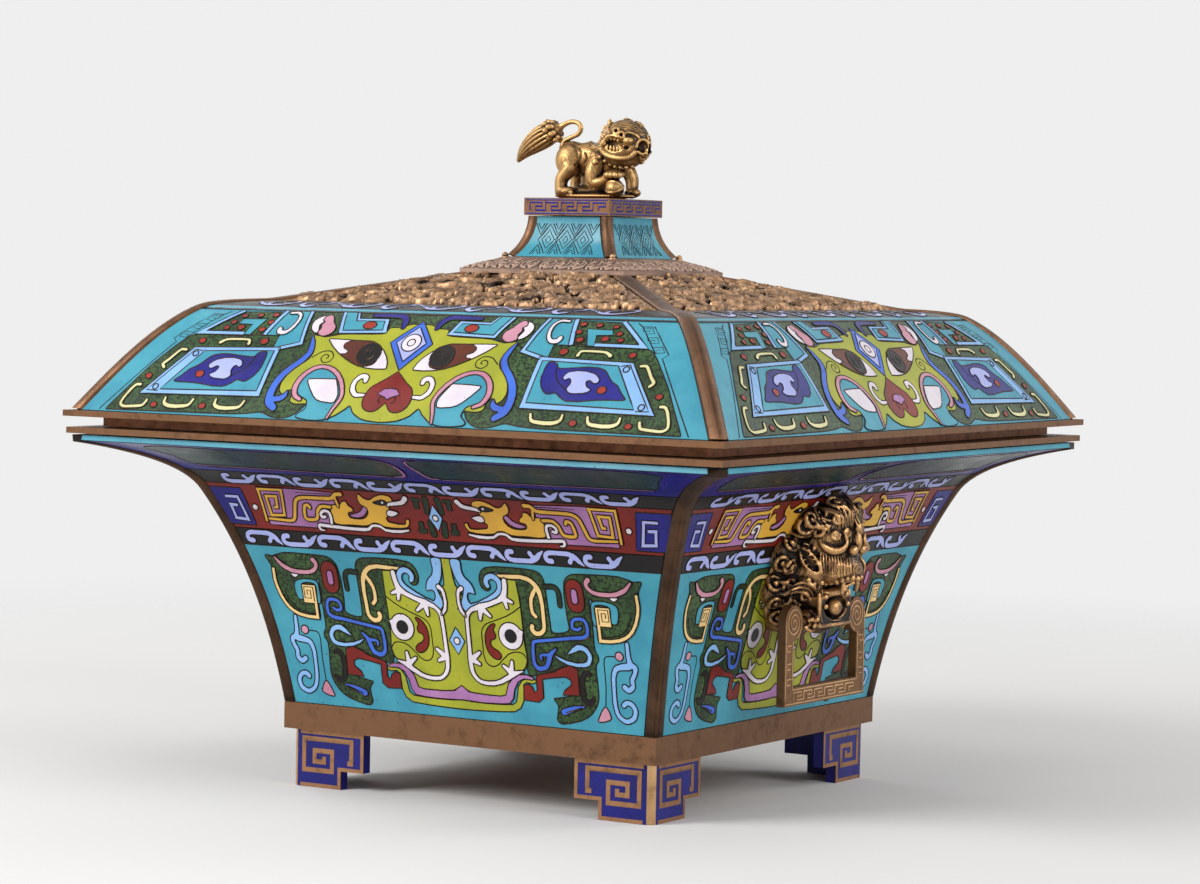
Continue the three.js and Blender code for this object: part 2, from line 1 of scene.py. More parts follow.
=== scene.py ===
"""Looks of the square cloisonne incense burner: enamel, gilt strips, pierced work, masks and lion.

Lengths are millimetres and become metres where a mesh is made. The four faces are alike, so what lies on
a face is made once on the front one, at -Y, and turned. On a face, x runs across it and s runs up along it
from its foot.
"""

import math

import bmesh
import bpy
import numpy as np
from mathutils import Matrix, Vector
from mathutils.geometry import delaunay_2d_cdt


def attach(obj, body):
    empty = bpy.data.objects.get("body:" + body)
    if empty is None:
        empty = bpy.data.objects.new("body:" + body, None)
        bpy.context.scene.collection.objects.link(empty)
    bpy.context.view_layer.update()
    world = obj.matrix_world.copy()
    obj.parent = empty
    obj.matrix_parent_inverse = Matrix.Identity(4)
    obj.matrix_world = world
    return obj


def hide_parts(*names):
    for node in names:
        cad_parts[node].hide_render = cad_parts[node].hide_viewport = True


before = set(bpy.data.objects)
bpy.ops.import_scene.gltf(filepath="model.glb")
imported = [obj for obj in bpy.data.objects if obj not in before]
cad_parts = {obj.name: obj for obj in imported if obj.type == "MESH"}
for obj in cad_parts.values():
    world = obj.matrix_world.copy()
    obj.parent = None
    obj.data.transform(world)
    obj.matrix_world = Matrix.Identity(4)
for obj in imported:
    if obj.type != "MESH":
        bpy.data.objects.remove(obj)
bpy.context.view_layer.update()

MM = 0.001
FACES = ["front", "right", "back", "left"]
CORNERS = ["front_right", "back_right", "back_left", "front_left"]

# Walls and strips, as the solids have them
WALL = 2.0
STRIP_WIDTH = 5.0
STRIP_PROUD = 0.8
STRIP_RADIUS = 1.8
NECK_STRIP_WIDTH = 3.6
GAP = 0.3

# Enamel: each layer of cells stands proud of the one below it, and its wires a little more
LAYER = 0.11
WIRE_PROUD = 0.09
WIRE_WIDTH = 0.5
INLAY_DEPTH = 0.25
SLICE = 4.0
SAMPLE = 0.8


# Curves and outlines

def bezier(a, b, c, d, steps=48):
    t = np.linspace(0, 1, steps + 1)[:, None]
    a, b, c, d = (np.array(p, float) for p in (a, b, c, d))
    return (1 - t) ** 3 * a + 3 * (1 - t) ** 2 * t * b + 3 * (1 - t) * t * t * c + t ** 3 * d


def sweep(a, d, first, second):
    """A curve between two points, each of whose pulls is given as shares of the run and of the rise."""
    def at(share):
        return [a[i] + (d[i] - a[i]) * share[i] for i in (0, 1)]
    return bezier(a, at(first), at(second), d)


def curve(points, closed=False, step=SAMPLE):
    """A smooth line through the points: centripetal Catmull-Rom, in as many dimensions as they have."""
    p = np.array(points, float)
    if closed:
        ring = np.vstack([p[-1:], p, p[:2]])
    else:
        ring = np.vstack([2 * p[:1] - p[1:2], p, 2 * p[-1:] - p[-2:-1]])
    out = []
    for a, b, c, d in zip(ring, ring[1:], ring[2:], ring[3:]):
        t1, t2, t3 = np.cumsum([np.linalg.norm(v) ** 0.5 + 1e-6 for v in (b - a, c - b, d - c)])
        count = max(2, round(np.linalg.norm(c - b) / step))
        t = np.linspace(t1, t2, count, endpoint=False)[:, None]
        ab = ((t1 - t) * a + t * b) / t1
        bc = ((t2 - t) * b + (t - t1) * c) / (t2 - t1)
        cd = ((t3 - t) * c + (t - t2) * d) / (t3 - t2)
        abc = ((t2 - t) * ab + t * bc) / t2
        bcd = ((t3 - t) * bc + (t - t1) * cd) / (t3 - t1)
        out.append(((t2 - t) * abc + (t - t1) * bcd) / (t2 - t1))
    if not closed:
        out.append(p[-1:])
    return np.vstack(out)


def blob(points):
    return curve(points, closed=True)


def circle(x, s, radius, radius_s=None):
    count = max(12, round(2 * math.pi * radius / SAMPLE))
    turn = np.linspace(0, 2 * math.pi, count, endpoint=False)
    return np.column_stack([x + radius * np.cos(turn), s + (radius_s or radius) * np.sin(turn)])


def stroke(points, widths):
    """Outline of a brush stroke with round ends, along a smooth line with one width or one for each point."""
    widths = np.broadcast_to(widths, len(points))
    line = curve([(x, s, w) for (x, s), w in zip(points, widths)])
    along = np.gradient(line[:, :2], axis=0)
    along /= np.linalg.norm(along, axis=1)[:, None] + 1e-9
    across = np.column_stack([-along[:, 1], along[:, 0]]) * line[:, 2:] / 2
    ends = []
    for place, way, half in ((line[-1, :2], along[-1], line[-1, 2] / 2),
                             (line[0, :2], -along[0], line[0, 2] / 2)):
        turn = np.linspace(math.pi / 2, -math.pi / 2, 7)[1:-1]
        normal = np.array([-way[1], way[0]])
        ends.append([place + half * (math.cos(a) * way + math.sin(a) * normal) for a in turn])
    left, right = line[:, :2] + across, line[:, :2] - across
    return np.vstack([left, ends[0], right[::-1], ends[1]])


def bar(points, width):
    """Outline of a straight-sided band along the points, with mitred corners and square ends."""
    p = np.array(points, float)
    way = np.diff(p, axis=0)
    way /= np.linalg.norm(way, axis=1)[:, None]
    normal = np.column_stack([-way[:, 1], way[:, 0]])
    first, last = normal[:1], normal[-1:]
    middle = normal[:-1] + normal[1:]
    middle /= (1 + np.sum(normal[:-1] * normal[1:], axis=1))[:, None]
    across = np.vstack([first, middle, last]) * width / 2
    return np.vstack([p + across, (p - across)[::-1]])


def both(points):
    """The half outline given from the centre line round to it again, with its mirror image."""
    p = np.array(points, float)
    return np.vstack([p, p[::-1] * [-1, 1]])


def moved(points, dx, ds):
    return np.array(points, float) + [dx, ds]


# Faces

class Face:
    """A curved wall of the square plan, given by its curve of half-width and height."""

    def __init__(self, *curves):
        parts = [np.array(curve_points, float) for curve_points in curves]
        line = np.vstack([parts[0]] + [part[1:] for part in parts[1:]])
        self.s = np.concatenate([[0], np.cumsum(np.linalg.norm(np.diff(line, axis=0), axis=1))])
        self.h, self.z = line.T
        tangent = np.gradient(line, self.s, axis=0)
        tangent /= np.linalg.norm(tangent, axis=1)[:, None]
        self.nh, self.nz = tangent[:, 1], -tangent[:, 0]

    def station(self, s):
        return [np.interp(s, self.s, row) for row in (self.h, self.z, self.nh, self.nz)]

    def points(self, x, s, raised):
        h, z, nh, nz = self.station(s)
        return np.column_stack([x, -(h + raised * nh), z + raised * nz])

    def half(self, s):
        return self.station(s)[0]


BODY_FACE = Face(sweep((86.8, 34), (111.5, 119), (0.13, 0.25), (0.372, 0.64)),
                 sweep((111.5, 119), (148, 138), (0.115, 0.447), (0.425, 0.768)))
LID_CURVES = [sweep((147.8, 150), (113, 191.5), (0.273, 0.341), (0.626, 0.817)),
              sweep((113, 191.5), (94, 194), (0.2, 0.7), (0.65, 0.9))]
LID_FACE = Face(*LID_CURVES)
NECK_FACE = Face(sweep((25, 213.5), (18.7, 229.8), (0.635, 0.267), (0.952, 0.6)))
GRILLE_LOW, GRILLE_HIGH = (94, 194), (37.5, 206.3)
RIDGE_FACE = Face(*LID_CURVES, [GRILLE_LOW, (39.3, 205.9)])
SKIRT_FACE = Face(bezier((38.7, 208.2), (35.8, 209.2), (32, 210.6), (26, 213.2), 12))


# Meshes and pieces

def turned(vertices, quarter):
    c, s = round(math.cos(quarter * math.pi / 2)), round(math.sin(quarter * math.pi / 2))
    return vertices @ np.array([[c, s, 0], [-s, c, 0], [0, 0, 1]])


def on_each_face(vertices, polygons, quarters=(0, 1, 2, 3)):
    """The mesh repeated on the four faces."""
    count = len(vertices)
    return (np.vstack([turned(vertices, q) for q in quarters]),
            [[i + n * count for i in polygon] for n, _ in enumerate(quarters) for polygon in polygons])


def piece(name, vertices, polygons, material, body, replaces=(), smooth=40, hollow=None):
    """A mesh object from points in millimetres, riding on its body.

    hollow says how deep the patina and the painted shade lie at each point.
    """
    mesh = bpy.data.meshes.new(name)
    mesh.from_pydata([tuple(v) for v in np.array(vertices) * MM], [], [list(p) for p in polygons])
    if hollow is not None:
        mesh.attributes.new("hollow", "FLOAT", "POINT").data.foreach_set("value",
                                                                         np.array(hollow, np.float32))
    mesh.validate()
    mesh.update()
    thing = bpy.data.objects.new(name, mesh)
    bpy.context.scene.collection.objects.link(thing)
    mesh.materials.append(material)
    mesh.shade_smooth()
    mesh.set_sharp_from_angle(angle=math.radians(smooth))
    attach(thing, body)
    if replaces:
        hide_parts(*replaces)


# Enamel

def filled(outlines):
    """Triangles over the union of closed outlines, cut at level lines so that they follow a curved face."""
    points, loops = [], []
    for outline in outlines:
        loops.append(list(range(len(points), len(points) + len(outline))))
        points += [Vector(p) for p in outline]
    places, _, triangles, *_ = delaunay_2d_cdt(points, [], loops, 1, 1e-4)
    work = bmesh.new()
    corners = [work.verts.new((p.x, p.y, 0)) for p in places]
    for triangle in triangles:
        work.faces.new([corners[i] for i in triangle])
    low, high = min(p.y for p in places), max(p.y for p in places)
    for level in np.arange(math.ceil(low / SLICE) * SLICE, high, SLICE):
        geometry = work.verts[:] + work.edges[:] + work.faces[:]
        bmesh.ops.bisect_plane(work, geom=geometry, dist=1e-4, plane_co=(0, level, 0), plane_no=(0, 1, 0))
    bmesh.ops.triangulate(work, faces=work.faces[:])
    work.normal_update()
    wrong = [f for f in work.faces if f.normal.z < 0]
    bmesh.ops.reverse_faces(work, faces=wrong)
    loose = [v for v in work.verts if not v.link_faces]
    bmesh.ops.delete(work, geom=loose, context="VERTS")
    work.verts.index_update()
    flat = np.array([(v.co.x, v.co.y) for v in work.verts])
    faces = [[v.index for v in f.verts] for f in work.faces]
    work.free()
    return flat, faces


def rims(triangles):
    """The closed loops of edges that have a triangle on one side only."""
    edges = {(a, b) for t in triangles for a, b in zip(t, t[1:] + t[:1])}
    onward = {}
    for a, b in edges:
        if (b, a) not in edges:
            onward.setdefault(a, []).append(b)
    loops = []
    while onward:
        start = next(iter(onward))
        loop, here = [], start
        while here in onward:
            loop.append(here)
            following = onward[here].pop()
            if not onward[here]:
                del onward[here]
            here = following
        loops.append(loop)
    return loops


def divided(line):
    """The line with more points on its long stretches, so that it follows a curved face."""
    parts = []
    for a, b in zip(line, line[1:]):
        count = max(1, math.ceil(np.linalg.norm(b - a) / SLICE))
        parts.append(a + (b - a) * np.arange(count)[:, None] / count)
    return np.vstack(parts + [line[-1:]])


def thinned(line, closed):
    """The points of a line that its bends need."""
    keep, turned_by, run = [0], 0.0, 0.0
    for i in range(1, len(line) - 1):
        before, after = line[i] - line[i - 1], line[i + 1] - line[i]
        turn = math.atan2(after[1], after[0]) - math.atan2(before[1], before[0])
        turned_by += abs(math.remainder(turn, math.tau))
        run += np.linalg.norm(before)
        if turned_by > 0.2 or run > SLICE:
            keep.append(i)
            turned_by, run = 0.0, 0.0
    if not closed or np.linalg.norm(line[-1] - line[0]) > 0.05:
        keep.append(len(line) - 1)
    return line[keep]


class Enamel:
    """Cells of coloured enamel and gilt wires laid on one kind of face."""

    def __init__(self, name, face, body):
        self.name, self.face, self.body = name, face, body
        self.parts = {}

    def add(self, colour, vertices, polygons):
        points, faces = self.parts.setdefault(colour, ([], []))
        start = sum(len(p) for p in points)
        points.append(vertices)
        faces += [[i + start for i in polygon] for polygon in polygons]

    def cell(self, colour, *outlines, layer=1, twice=True, wire=True):
        """A cell over the union of its outlines, with its mirror image on the other half of the face."""
        flat, triangles = filled(outlines)
        raised = layer * LAYER
        count = len(flat)
        loops = rims(triangles)
        for side in (1, -1) if twice else (1,):
            top = self.face.points(side * flat[:, 0], flat[:, 1], raised)
            under = self.face.points(side * flat[:, 0], flat[:, 1], -INLAY_DEPTH)
            faces = triangles + [[i + count for i in t[::-1]] for t in triangles]
            for loop in loops:
                faces += [[b, a, a + count, b + count] for a, b in zip(loop, loop[1:] + loop[:1])]
            if side < 0:
                faces = [f[::-1] for f in faces]
            self.add(colour, np.vstack([top, under]), faces)
        if wire:
            for loop in loops:
                self.line(flat[loop], layer, twice, closed=True)

    def line(self, points, layer=1, twice=True, closed=False, width=WIRE_WIDTH, colour="wire"):
        """A wire along the points."""
        line = thinned(divided(np.array(points, float)), closed)
        if len(line) < 3 and closed:
            return
        around = np.vstack([line[-1:], line, line[:1]]) if closed else line
        along = np.gradient(around, axis=0)
        if closed:
            along = along[1:-1]
        along /= np.linalg.norm(along, axis=1)[:, None] + 1e-9
        across = np.column_stack([-along[:, 1], along[:, 0]])
        raised = layer * LAYER
        section = [(-0.5, -INLAY_DEPTH), (-0.5, WIRE_PROUD / 3), (-0.2, WIRE_PROUD), (0.2, WIRE_PROUD),
                   (0.5, WIRE_PROUD / 3), (0.5, -INLAY_DEPTH)]
        n, k = len(line), len(section)
        for side in (1, -1) if twice else (1,):
            rows = []
            for part, height in section:
                place = line + across * part * width
                rows.append(self.face.points(side * place[:, 0], place[:, 1], raised + height))
            vertices = np.stack(rows, axis=1).reshape(-1, 3)
            faces = []
            for i in range(n if closed else n - 1):
                j = (i + 1) % n
                faces += [[i * k + a, i * k + (a + 1) % k, j * k + (a + 1) % k, j * k + a] for a in range(k)]
            if not closed:
                faces += [list(range(k))[::-1], list(range((n - 1) * k, n * k))]
            if side < 0:
                faces = [f[::-1] for f in faces]
            self.add(colour, vertices, faces)

    def lay(self, quarters=(0, 1, 2, 3)):
        for colour, (points, faces) in self.parts.items():
            vertices, polygons = on_each_face(np.vstack(points), faces, quarters)
            piece(f"{self.name}_{colour}", vertices, polygons, ENAMELS[colour], self.body, smooth=50)


# Materials

def linear(*srgb):
    return [((c / 255 + 0.055) / 1.055) ** 2.4 if c > 10 else c / 255 / 12.92 for c in srgb] + [1.0]


class Shader:
    """A node material in the making."""

    def __init__(self, name):
        self.material = bpy.data.materials.new(name)
        self.material.use_nodes = True
        self.nodes, self.links = self.material.node_tree.nodes, self.material.node_tree.links
        self.surface = self.nodes["Principled BSDF"]
        self.place = self.nodes.new("ShaderNodeTexCoord").outputs["Object"]

    def node(self, kind, inputs=(), **settings):
        made = self.nodes.new("ShaderNode" + kind)
        for key, value in settings.items():
            setattr(made, key, value)
        for key, value in dict(inputs).items():
            if isinstance(value, bpy.types.NodeSocket):
                self.links.new(value, made.inputs[key])
            else:
                made.inputs[key].default_value = value
        return made

    def noise(self, scale, detail, roughness=0.5):
        return self.node("TexNoise", {"Vector": self.place, "Scale": scale, "Detail": detail,
                                      "Roughness": roughness}).outputs["Fac"]

    def spots(self, scale):
        return self.node("TexVoronoi", {"Vector": self.place, "Scale": scale}).outputs["Distance"]

    def between(self, value, low, high, to_low=0.0, to_high=1.0):
        return self.node("MapRange", {"Value": value, "From Min": low, "From Max": high, "To Min": to_low,
                                      "To Max": to_high}).outputs["Result"]

    def mix(self, factor, a, b):
        made = self.nodes.new("ShaderNodeMix")
        made.data_type = "RGBA"
        sockets = {s.identifier: s for s in made.inputs}
        for key, value in (("Factor_Float", factor), ("A_Color", a), ("B_Color", b)):
            if isinstance(value, bpy.types.NodeSocket):
                self.links.new(value, sockets[key])
            else:
                sockets[key].default_value = value
        return {s.identifier: s for s in made.outputs}["Result_Color"]

    def maths(self, operation, a, b):
        made = self.nodes.new("ShaderNodeMath")
        made.operation = operation
        for socket, value in zip(made.inputs, (a, b)):
            if isinstance(value, bpy.types.NodeSocket):
                self.links.new(value, socket)
            else:
                socket.default_value = value
        return made.outputs[0]

    def bump(self, height, strength, distance):
        made = self.node("Bump", {"Height": height, "Strength": strength, "Distance": distance})
        self.links.new(made.outputs["Normal"], self.surface.inputs["Normal"])

    def set(self, **values):
        for key, value in values.items():
            socket = self.surface.inputs[key.replace("_", " ")]
            if isinstance(value, bpy.types.NodeSocket):
                self.links.new(value, socket)
            else:
                socket.default_value = value


def enamel(name, tone, second, grain=0.0, pits=0.35):
    """Ground glass enamel: a soft change of tone, a fine grain and small dark pits."""
    shader = Shader("enamel_" + name)
    cloud = shader.between(shader.noise(55, 4, 0.6), 0.38, 0.62)
    colour = shader.mix(cloud, linear(*tone), linear(*second))
    if grain:
        fine = shader.between(shader.noise(700, 2, 0.7), 0.47, 0.56)
        dark = [c * (1 - grain) for c in linear(*second)[:3]] + [1.0]
        colour = shader.mix(fine, colour, dark)
    fleck = shader.between(shader.spots(330), 0.06, 0.16, 1.0, 0.0)
    rare = shader.between(shader.noise(260, 1), 0.56, 0.62)
    pit = shader.maths("MULTIPLY", fleck, rare)
    ink = [c * (1 - pits) * 0.5 for c in linear(*second)[:3]] + [1.0]
    colour = shader.mix(pit, colour, ink)
    shader.surface.inputs["Specular IOR Level"].default_value = 0.28
    shader.set(Base_Color=colour, Roughness=shader.between(shader.noise(90, 3), 0.3, 0.7, 0.22, 0.4))
    uneven = shader.maths("ADD", shader.noise(130, 2), shader.maths("MULTIPLY", pit, -0.8))
    shader.bump(uneven, 0.25, 0.0002)
    return shader.material


def metal(name, worn, bright, dark, rough, cast=False, plain=False):
    """Worn gilding: bright on edges, partly wear and partly a painted highlight, brown where it has gone,
    and dark in the hollows, partly patina and partly painted shade.

    A casting carries its own measure of its hollows, and thin lines are left plain.
    """
    shader = Shader(name)
    patches = shader.between(shader.noise(60, 5, 0.6), 0.36, 0.66)
    middle = [(a + b) / 2 for a, b in zip(linear(*worn), linear(*bright))]
    base = shader.mix(patches, linear(*worn), middle)
    if cast:
        depth = shader.node("Attribute", attribute_name="hollow").outputs["Fac"]
        edge, hollow = shader.between(depth, -0.12, -0.5), shader.between(depth, 0.05, 0.42)
    else:
        depth = shader.node("NewGeometry").outputs["Pointiness"]
        edge, hollow = shader.between(depth, 0.505, 0.56), shader.between(depth, 0.49, 0.44)
    # Painted highlight on ridges and painted shade in hollows, over the wear and patina that lie there
    if not plain:
        base = shader.mix(edge, base, linear(*bright))
        base = shader.mix(hollow, base, linear(*dark))
    stain = shader.between(shader.noise(190, 4, 0.65), 0.52, 0.75)
    base = shader.mix(shader.maths("MULTIPLY", stain, 0.55), base, linear(*dark))
    roughness = shader.between(shader.noise(300, 4, 0.6), 0.3, 0.7, rough - 0.06, rough + 0.16)
    shader.set(Base_Color=base, Metallic=0.85, Roughness=roughness)
    shader.bump(shader.noise(420, 3, 0.6), 0.15, 0.0002)
    return shader.material


ENAMELS = {
    "turquoise": enamel("turquoise", (70, 158, 178), (58, 142, 166)),
    "lime": enamel("lime", (170, 172, 44), (152, 158, 42)),
    "green": enamel("green", (62, 92, 46), (38, 62, 34), grain=0.6),
    "dark_green": enamel("dark_green", (30, 54, 30), (20, 40, 24), grain=0.5),
    "red": enamel("red", (128, 26, 16), (108, 20, 14)),
    "scarlet": enamel("scarlet", (165, 48, 34), (140, 36, 28)),
    "yellow": enamel("yellow", (228, 176, 58), (214, 160, 60)),
    "cream": enamel("cream", (240, 205, 140), (228, 192, 128)),
    "pale_yellow": enamel("pale_yellow", (228, 224, 170), (212, 206, 150)),
    "cobalt": enamel("cobalt", (26, 24, 130), (20, 18, 105)),
    "mid_blue": enamel("mid_blue", (62, 112, 216), (58, 96, 196)),
    "pale_blue": enamel("pale_blue", (142, 188, 236), (128, 174, 226)),
    "lavender": enamel("lavender", (176, 184, 240), (160, 170, 226)),
    "mauve": enamel("mauve", (176, 124, 176), (158, 104, 158)),
    "pink": enamel("pink", (206, 148, 166), (188, 124, 146)),
    "white": enamel("white", (232, 224, 232), (218, 208, 218)),
    "black": enamel("black", (16, 12, 16), (10, 8, 12), pits=0.0),
    "brown": enamel("brown", (98, 42, 22), (80, 32, 18)),
    "teal": enamel("teal", (20, 58, 60), (16, 44, 48)),
    "wire": metal("wire_gilt", (58, 44, 30), (104, 78, 50), (30, 22, 17), rough=0.45),
    "fret": metal("fret_gilt", (104, 76, 54), (160, 118, 84), (50, 35, 25), rough=0.42),
    "bright": metal("line_gilt", (182, 142, 98), (232, 192, 144), (96, 70, 48), rough=0.3, plain=True),
}
GILT = metal("worn_gilt", (72, 51, 37), (120, 86, 61), (42, 29, 21), rough=0.42)
CAST_GILT = metal("cast_gilt", (108, 83, 64), (182, 144, 108), (38, 28, 22), rough=0.44, cast=True)
MASK_GILT = metal("mask_gilt", (114, 82, 54), (208, 162, 110), (22, 16, 13), rough=0.34, cast=True)
LION_GILT = metal("lion_gilt", (104, 76, 46), (194, 154, 100), (36, 29, 26), rough=0.36, cast=True)
BAIL_GILT = metal("bail_gilt", (72, 51, 35), (124, 90, 60), (38, 27, 18), rough=0.4)
PALE_PATINA = metal("pale_patina", (136, 112, 100), (190, 162, 142), (84, 66, 58), rough=0.55, cast=True)
COPPER = metal("old_copper", (96, 62, 46), (128, 86, 62), (44, 28, 22), rough=0.45)
COBALT_FOOT = enamel("foot_cobalt", (28, 30, 120), (22, 22, 96))


# Ornament of the body

def body_field():
    """The taotie mask on the turquoise part of the body."""
    work = Enamel("body", BODY_FACE, "root")
    cell, line = work.cell, work.line

    cell("lime", both([(0, 65), (2, 65), (2.1, 58), (2.6, 54), (4.5, 52), (6, 46.5), (9.5, 46.8), (15, 48.3),
                       (20, 50.2), (23.5, 53), (24.8, 56), (25.4, 58.2), (31, 58), (31.5, 50), (31.3, 40),
                       (31.2, 32), (31.9, 26.5), (30.6, 22.6), (27.4, 19.4), (25, 17), (23.4, 14.4),
                       (22.4, 11.2), (20, 10.2), (10, 10.2), (4, 10.9), (0, 12.6)]), layer=2, twice=False)
    cell("lime", both([(0, 7.6), (4, 7), (15, 6.8), (23.2, 7.4), (25, 8.6), (25.6, 11.5), (26.4, 14.8),
                       (28.3, 17.4), (31, 18.4), (34.4, 18.2), (34.8, 17.2), (33.2, 16.4), (30.4, 16.8),
                       (28.9, 15.8), (28.6, 12.5), (28.4, 9.3), (26.8, 6.3), (23.8, 4.6), (17, 4.1), (8, 3.7),
                       (0, 3.6)]), layer=1, twice=False)
    cell("mauve", both([(0, 13.2), (1.2, 12.4), (3.4, 10.9), (9, 10.4), (18, 10.4), (20.4, 11), (21.2, 13),
                        (22, 15.6), (24.5, 18.2), (27.2, 19.7), (31, 19.9), (34, 18.9), (33.4, 18),
                        (29.4, 18.2), (26.6, 16.8), (24.7, 13.6), (23.8, 9.8), (22, 7.8), (18, 7.3), (9, 7),
                        (3, 7.4), (0, 7.4)]), layer=3, twice=False)

    # Speckled green grounds: the bracket over the brow, the band beside the eye and the wing at the corner
    cell("green", blob([(19, 54.2), (17.4, 52.7), (15.2, 53.5), (14.2, 56), (14.8, 59.3), (16.9, 61.8),
                        (20.5, 62.8), (28.3, 63.1), (36.3, 62.9), (41.8, 62), (43.7, 59.5), (43.9, 52),
                        (44, 44), (44.5, 38), (52, 39.2), (52, 45), (52.2, 55), (53.4, 59.5), (56.4, 61.9),
                        (62, 62.4), (70, 62.6), (78, 62.5), (82, 61.4), (84, 60.7), (87.4, 60.9),
                        (85.4, 56.5), (84.9, 50), (82.1, 42), (77.3, 37.6), (70.3, 35.8), (65.2, 35.6),
                        (64.8, 42), (64.8, 50.6), (63.4, 52.6), (62.7, 50), (63, 42), (62.9, 31.6),
                        (63.9, 30), (64, 28), (62.7, 26), (62.5, 12.5), (60.3, 8), (56.3, 4.6), (50.3, 2.5),
                        (44.8, 1.7), (43.3, 3), (44.1, 8.5), (42.4, 11.3), (44.4, 11.6), (50, 13),
                        (54.2, 14.2), (54, 22), (50, 24.9), (45, 23.4), (41, 21.6), (36.3, 20.3),
                        (32.3, 19.8), (31.1, 22.5), (31.7, 26), (31.2, 33), (31.2, 45), (30.9, 56.8),
                        (28.8, 59.6), (22.3, 60.9), (18.8, 60.1), (16.9, 57.6), (17.4, 55)]))
    cell("turquoise", blob([(63.8, 50.9), (66, 51.9), (72, 51.7), (75, 50.2), (75.4, 47), (74, 43.2),
                            (71.7, 43.4), (71.6, 49.6), (65.2, 49.8), (65, 42), (63.8, 42)]), layer=2)
    cell("dark_green", stroke([(43.6, 56.3), (48, 56.4), (49.5, 54.9), (49.6, 49)], 1.9), layer=2)

    # Pale blue: the band down the brow, its barb and the curl that ends it
    cell("pale_blue", blob([(2.3, 64.8), (2.5, 60), (3.3, 57), (4.5, 54.8), (6.1, 52), (5.1, 49.5), (4.3, 47),
                            (4.7, 44.8), (6, 43.5), (7, 44.6), (9, 46.4), (8.1, 47.4), (7.5, 49), (7.9, 51),
                            (9.4, 51.4), (11.2, 50.9), (11, 53.5), (9.8, 55.8), (7.6, 57.8), (6.7, 60.5),
                            (6.6, 64.8)]),
         stroke([(6.3, 43.8), (7.9, 45.6), (10.3, 46.7), (14.3, 48), (18.3, 50), (21.6, 52), (23.3, 54.5),
                 (22.9, 57.5), (20.6, 59), (18.1, 58.2), (17.2, 56.3), (17.8, 54.9)],
                [1, 1.5, 1.3, 1.5, 1.9, 2.2, 2.4, 2.6, 2.6, 2.5, 2.4, 2.2]), layer=3)
    cell("white", stroke([(5.3, 53), (3.9, 52), (3.2, 49.5), (3.2, 46), (4, 43.5), (5.4, 41.8)],
                         [2.3, 1.9, 1.7, 1.7, 1.7, 1.4]), layer=4)
    cell("white", stroke([(25.9, 57.6), (25.5, 54), (24.2, 51), (21.3, 49), (17.3, 47.4), (12.3, 46),
                          (8.3, 44.3), (6.3, 42), (5.8, 38), (5.6, 30), (5.4, 22), (6.3, 18.3), (8.8, 15.8),
                          (12.3, 15.1), (17.3, 15.7), (21.8, 17.8), (25.3, 19.9), (29.3, 21.2)],
                         [2.4, 2.5, 2.8, 2.2, 2.2, 2.5, 2, 2, 1.9, 1.9, 2.2, 2, 1.8, 1.9, 2, 2.2, 2.2, 0.8]),
         stroke([(24.3, 50.6), (25.3, 46.6)], [2.4, 1.7]), stroke([(24.3, 50.4), (27.9, 48.9)], [2.2, 1.6]),
         stroke([(13, 46), (12.2, 41)], [3.2, 1.6]), stroke([(13.6, 45.4), (17, 42.5)], [2.6, 1.6]),
         stroke([(6.2, 24.3), (9.9, 27.2)], [2.8, 1.7]), stroke([(6.2, 24.2), (9.5, 22.6)], [2.6, 1.6]),
         stroke([(23.8, 19.8), (24.6, 24.6)], [2.8, 1.7]), stroke([(23.8, 20.2), (20.6, 22.7)], [2.6, 1.6]),
         layer=4)

    # Eye, its red crescent and the socket wire
    cell("white", circle(25.3, 35, 5.5), [(27, 39.6), (31.4, 37.3), (30.2, 33.4)], layer=3)
    cell("black", circle(25.3, 35, 2.8), layer=4, wire=False)
    cell("red", blob([(18.1, 39.5), (15.6, 38.2), (13.6, 35), (13.2, 31), (14.3, 27.5), (16.8, 25.3),
                      (19.3, 25.3), (20, 26.8), (18.6, 28.6), (16.6, 29.6), (15.6, 31), (16, 32.6),
                      (17.9, 33.5), (18.3, 35), (17.5, 37), (18.6, 39)]), layer=3)
    line(curve([(31.3, 47.2), (27.3, 44.5), (22.3, 42), (17.3, 40.3), (13.8, 38.6), (12, 36), (11.8, 31),
                (11.9, 25.5), (13.3, 22.8), (15.8, 22), (18.3, 23), (20.8, 25.5), (23.8, 27.8), (27.3, 28.7),
                (30.3, 28), (31.7, 25.5), (30.6, 22.8), (28.1, 20.8)]), layer=2)
    cell("pale_blue", [(0, 36.8), (3.6, 31.2), (0, 25.7), (-3.6, 31.2)], layer=3, twice=False)
    cell("white", circle(0, 31.2, 1.4), layer=4, twice=False)

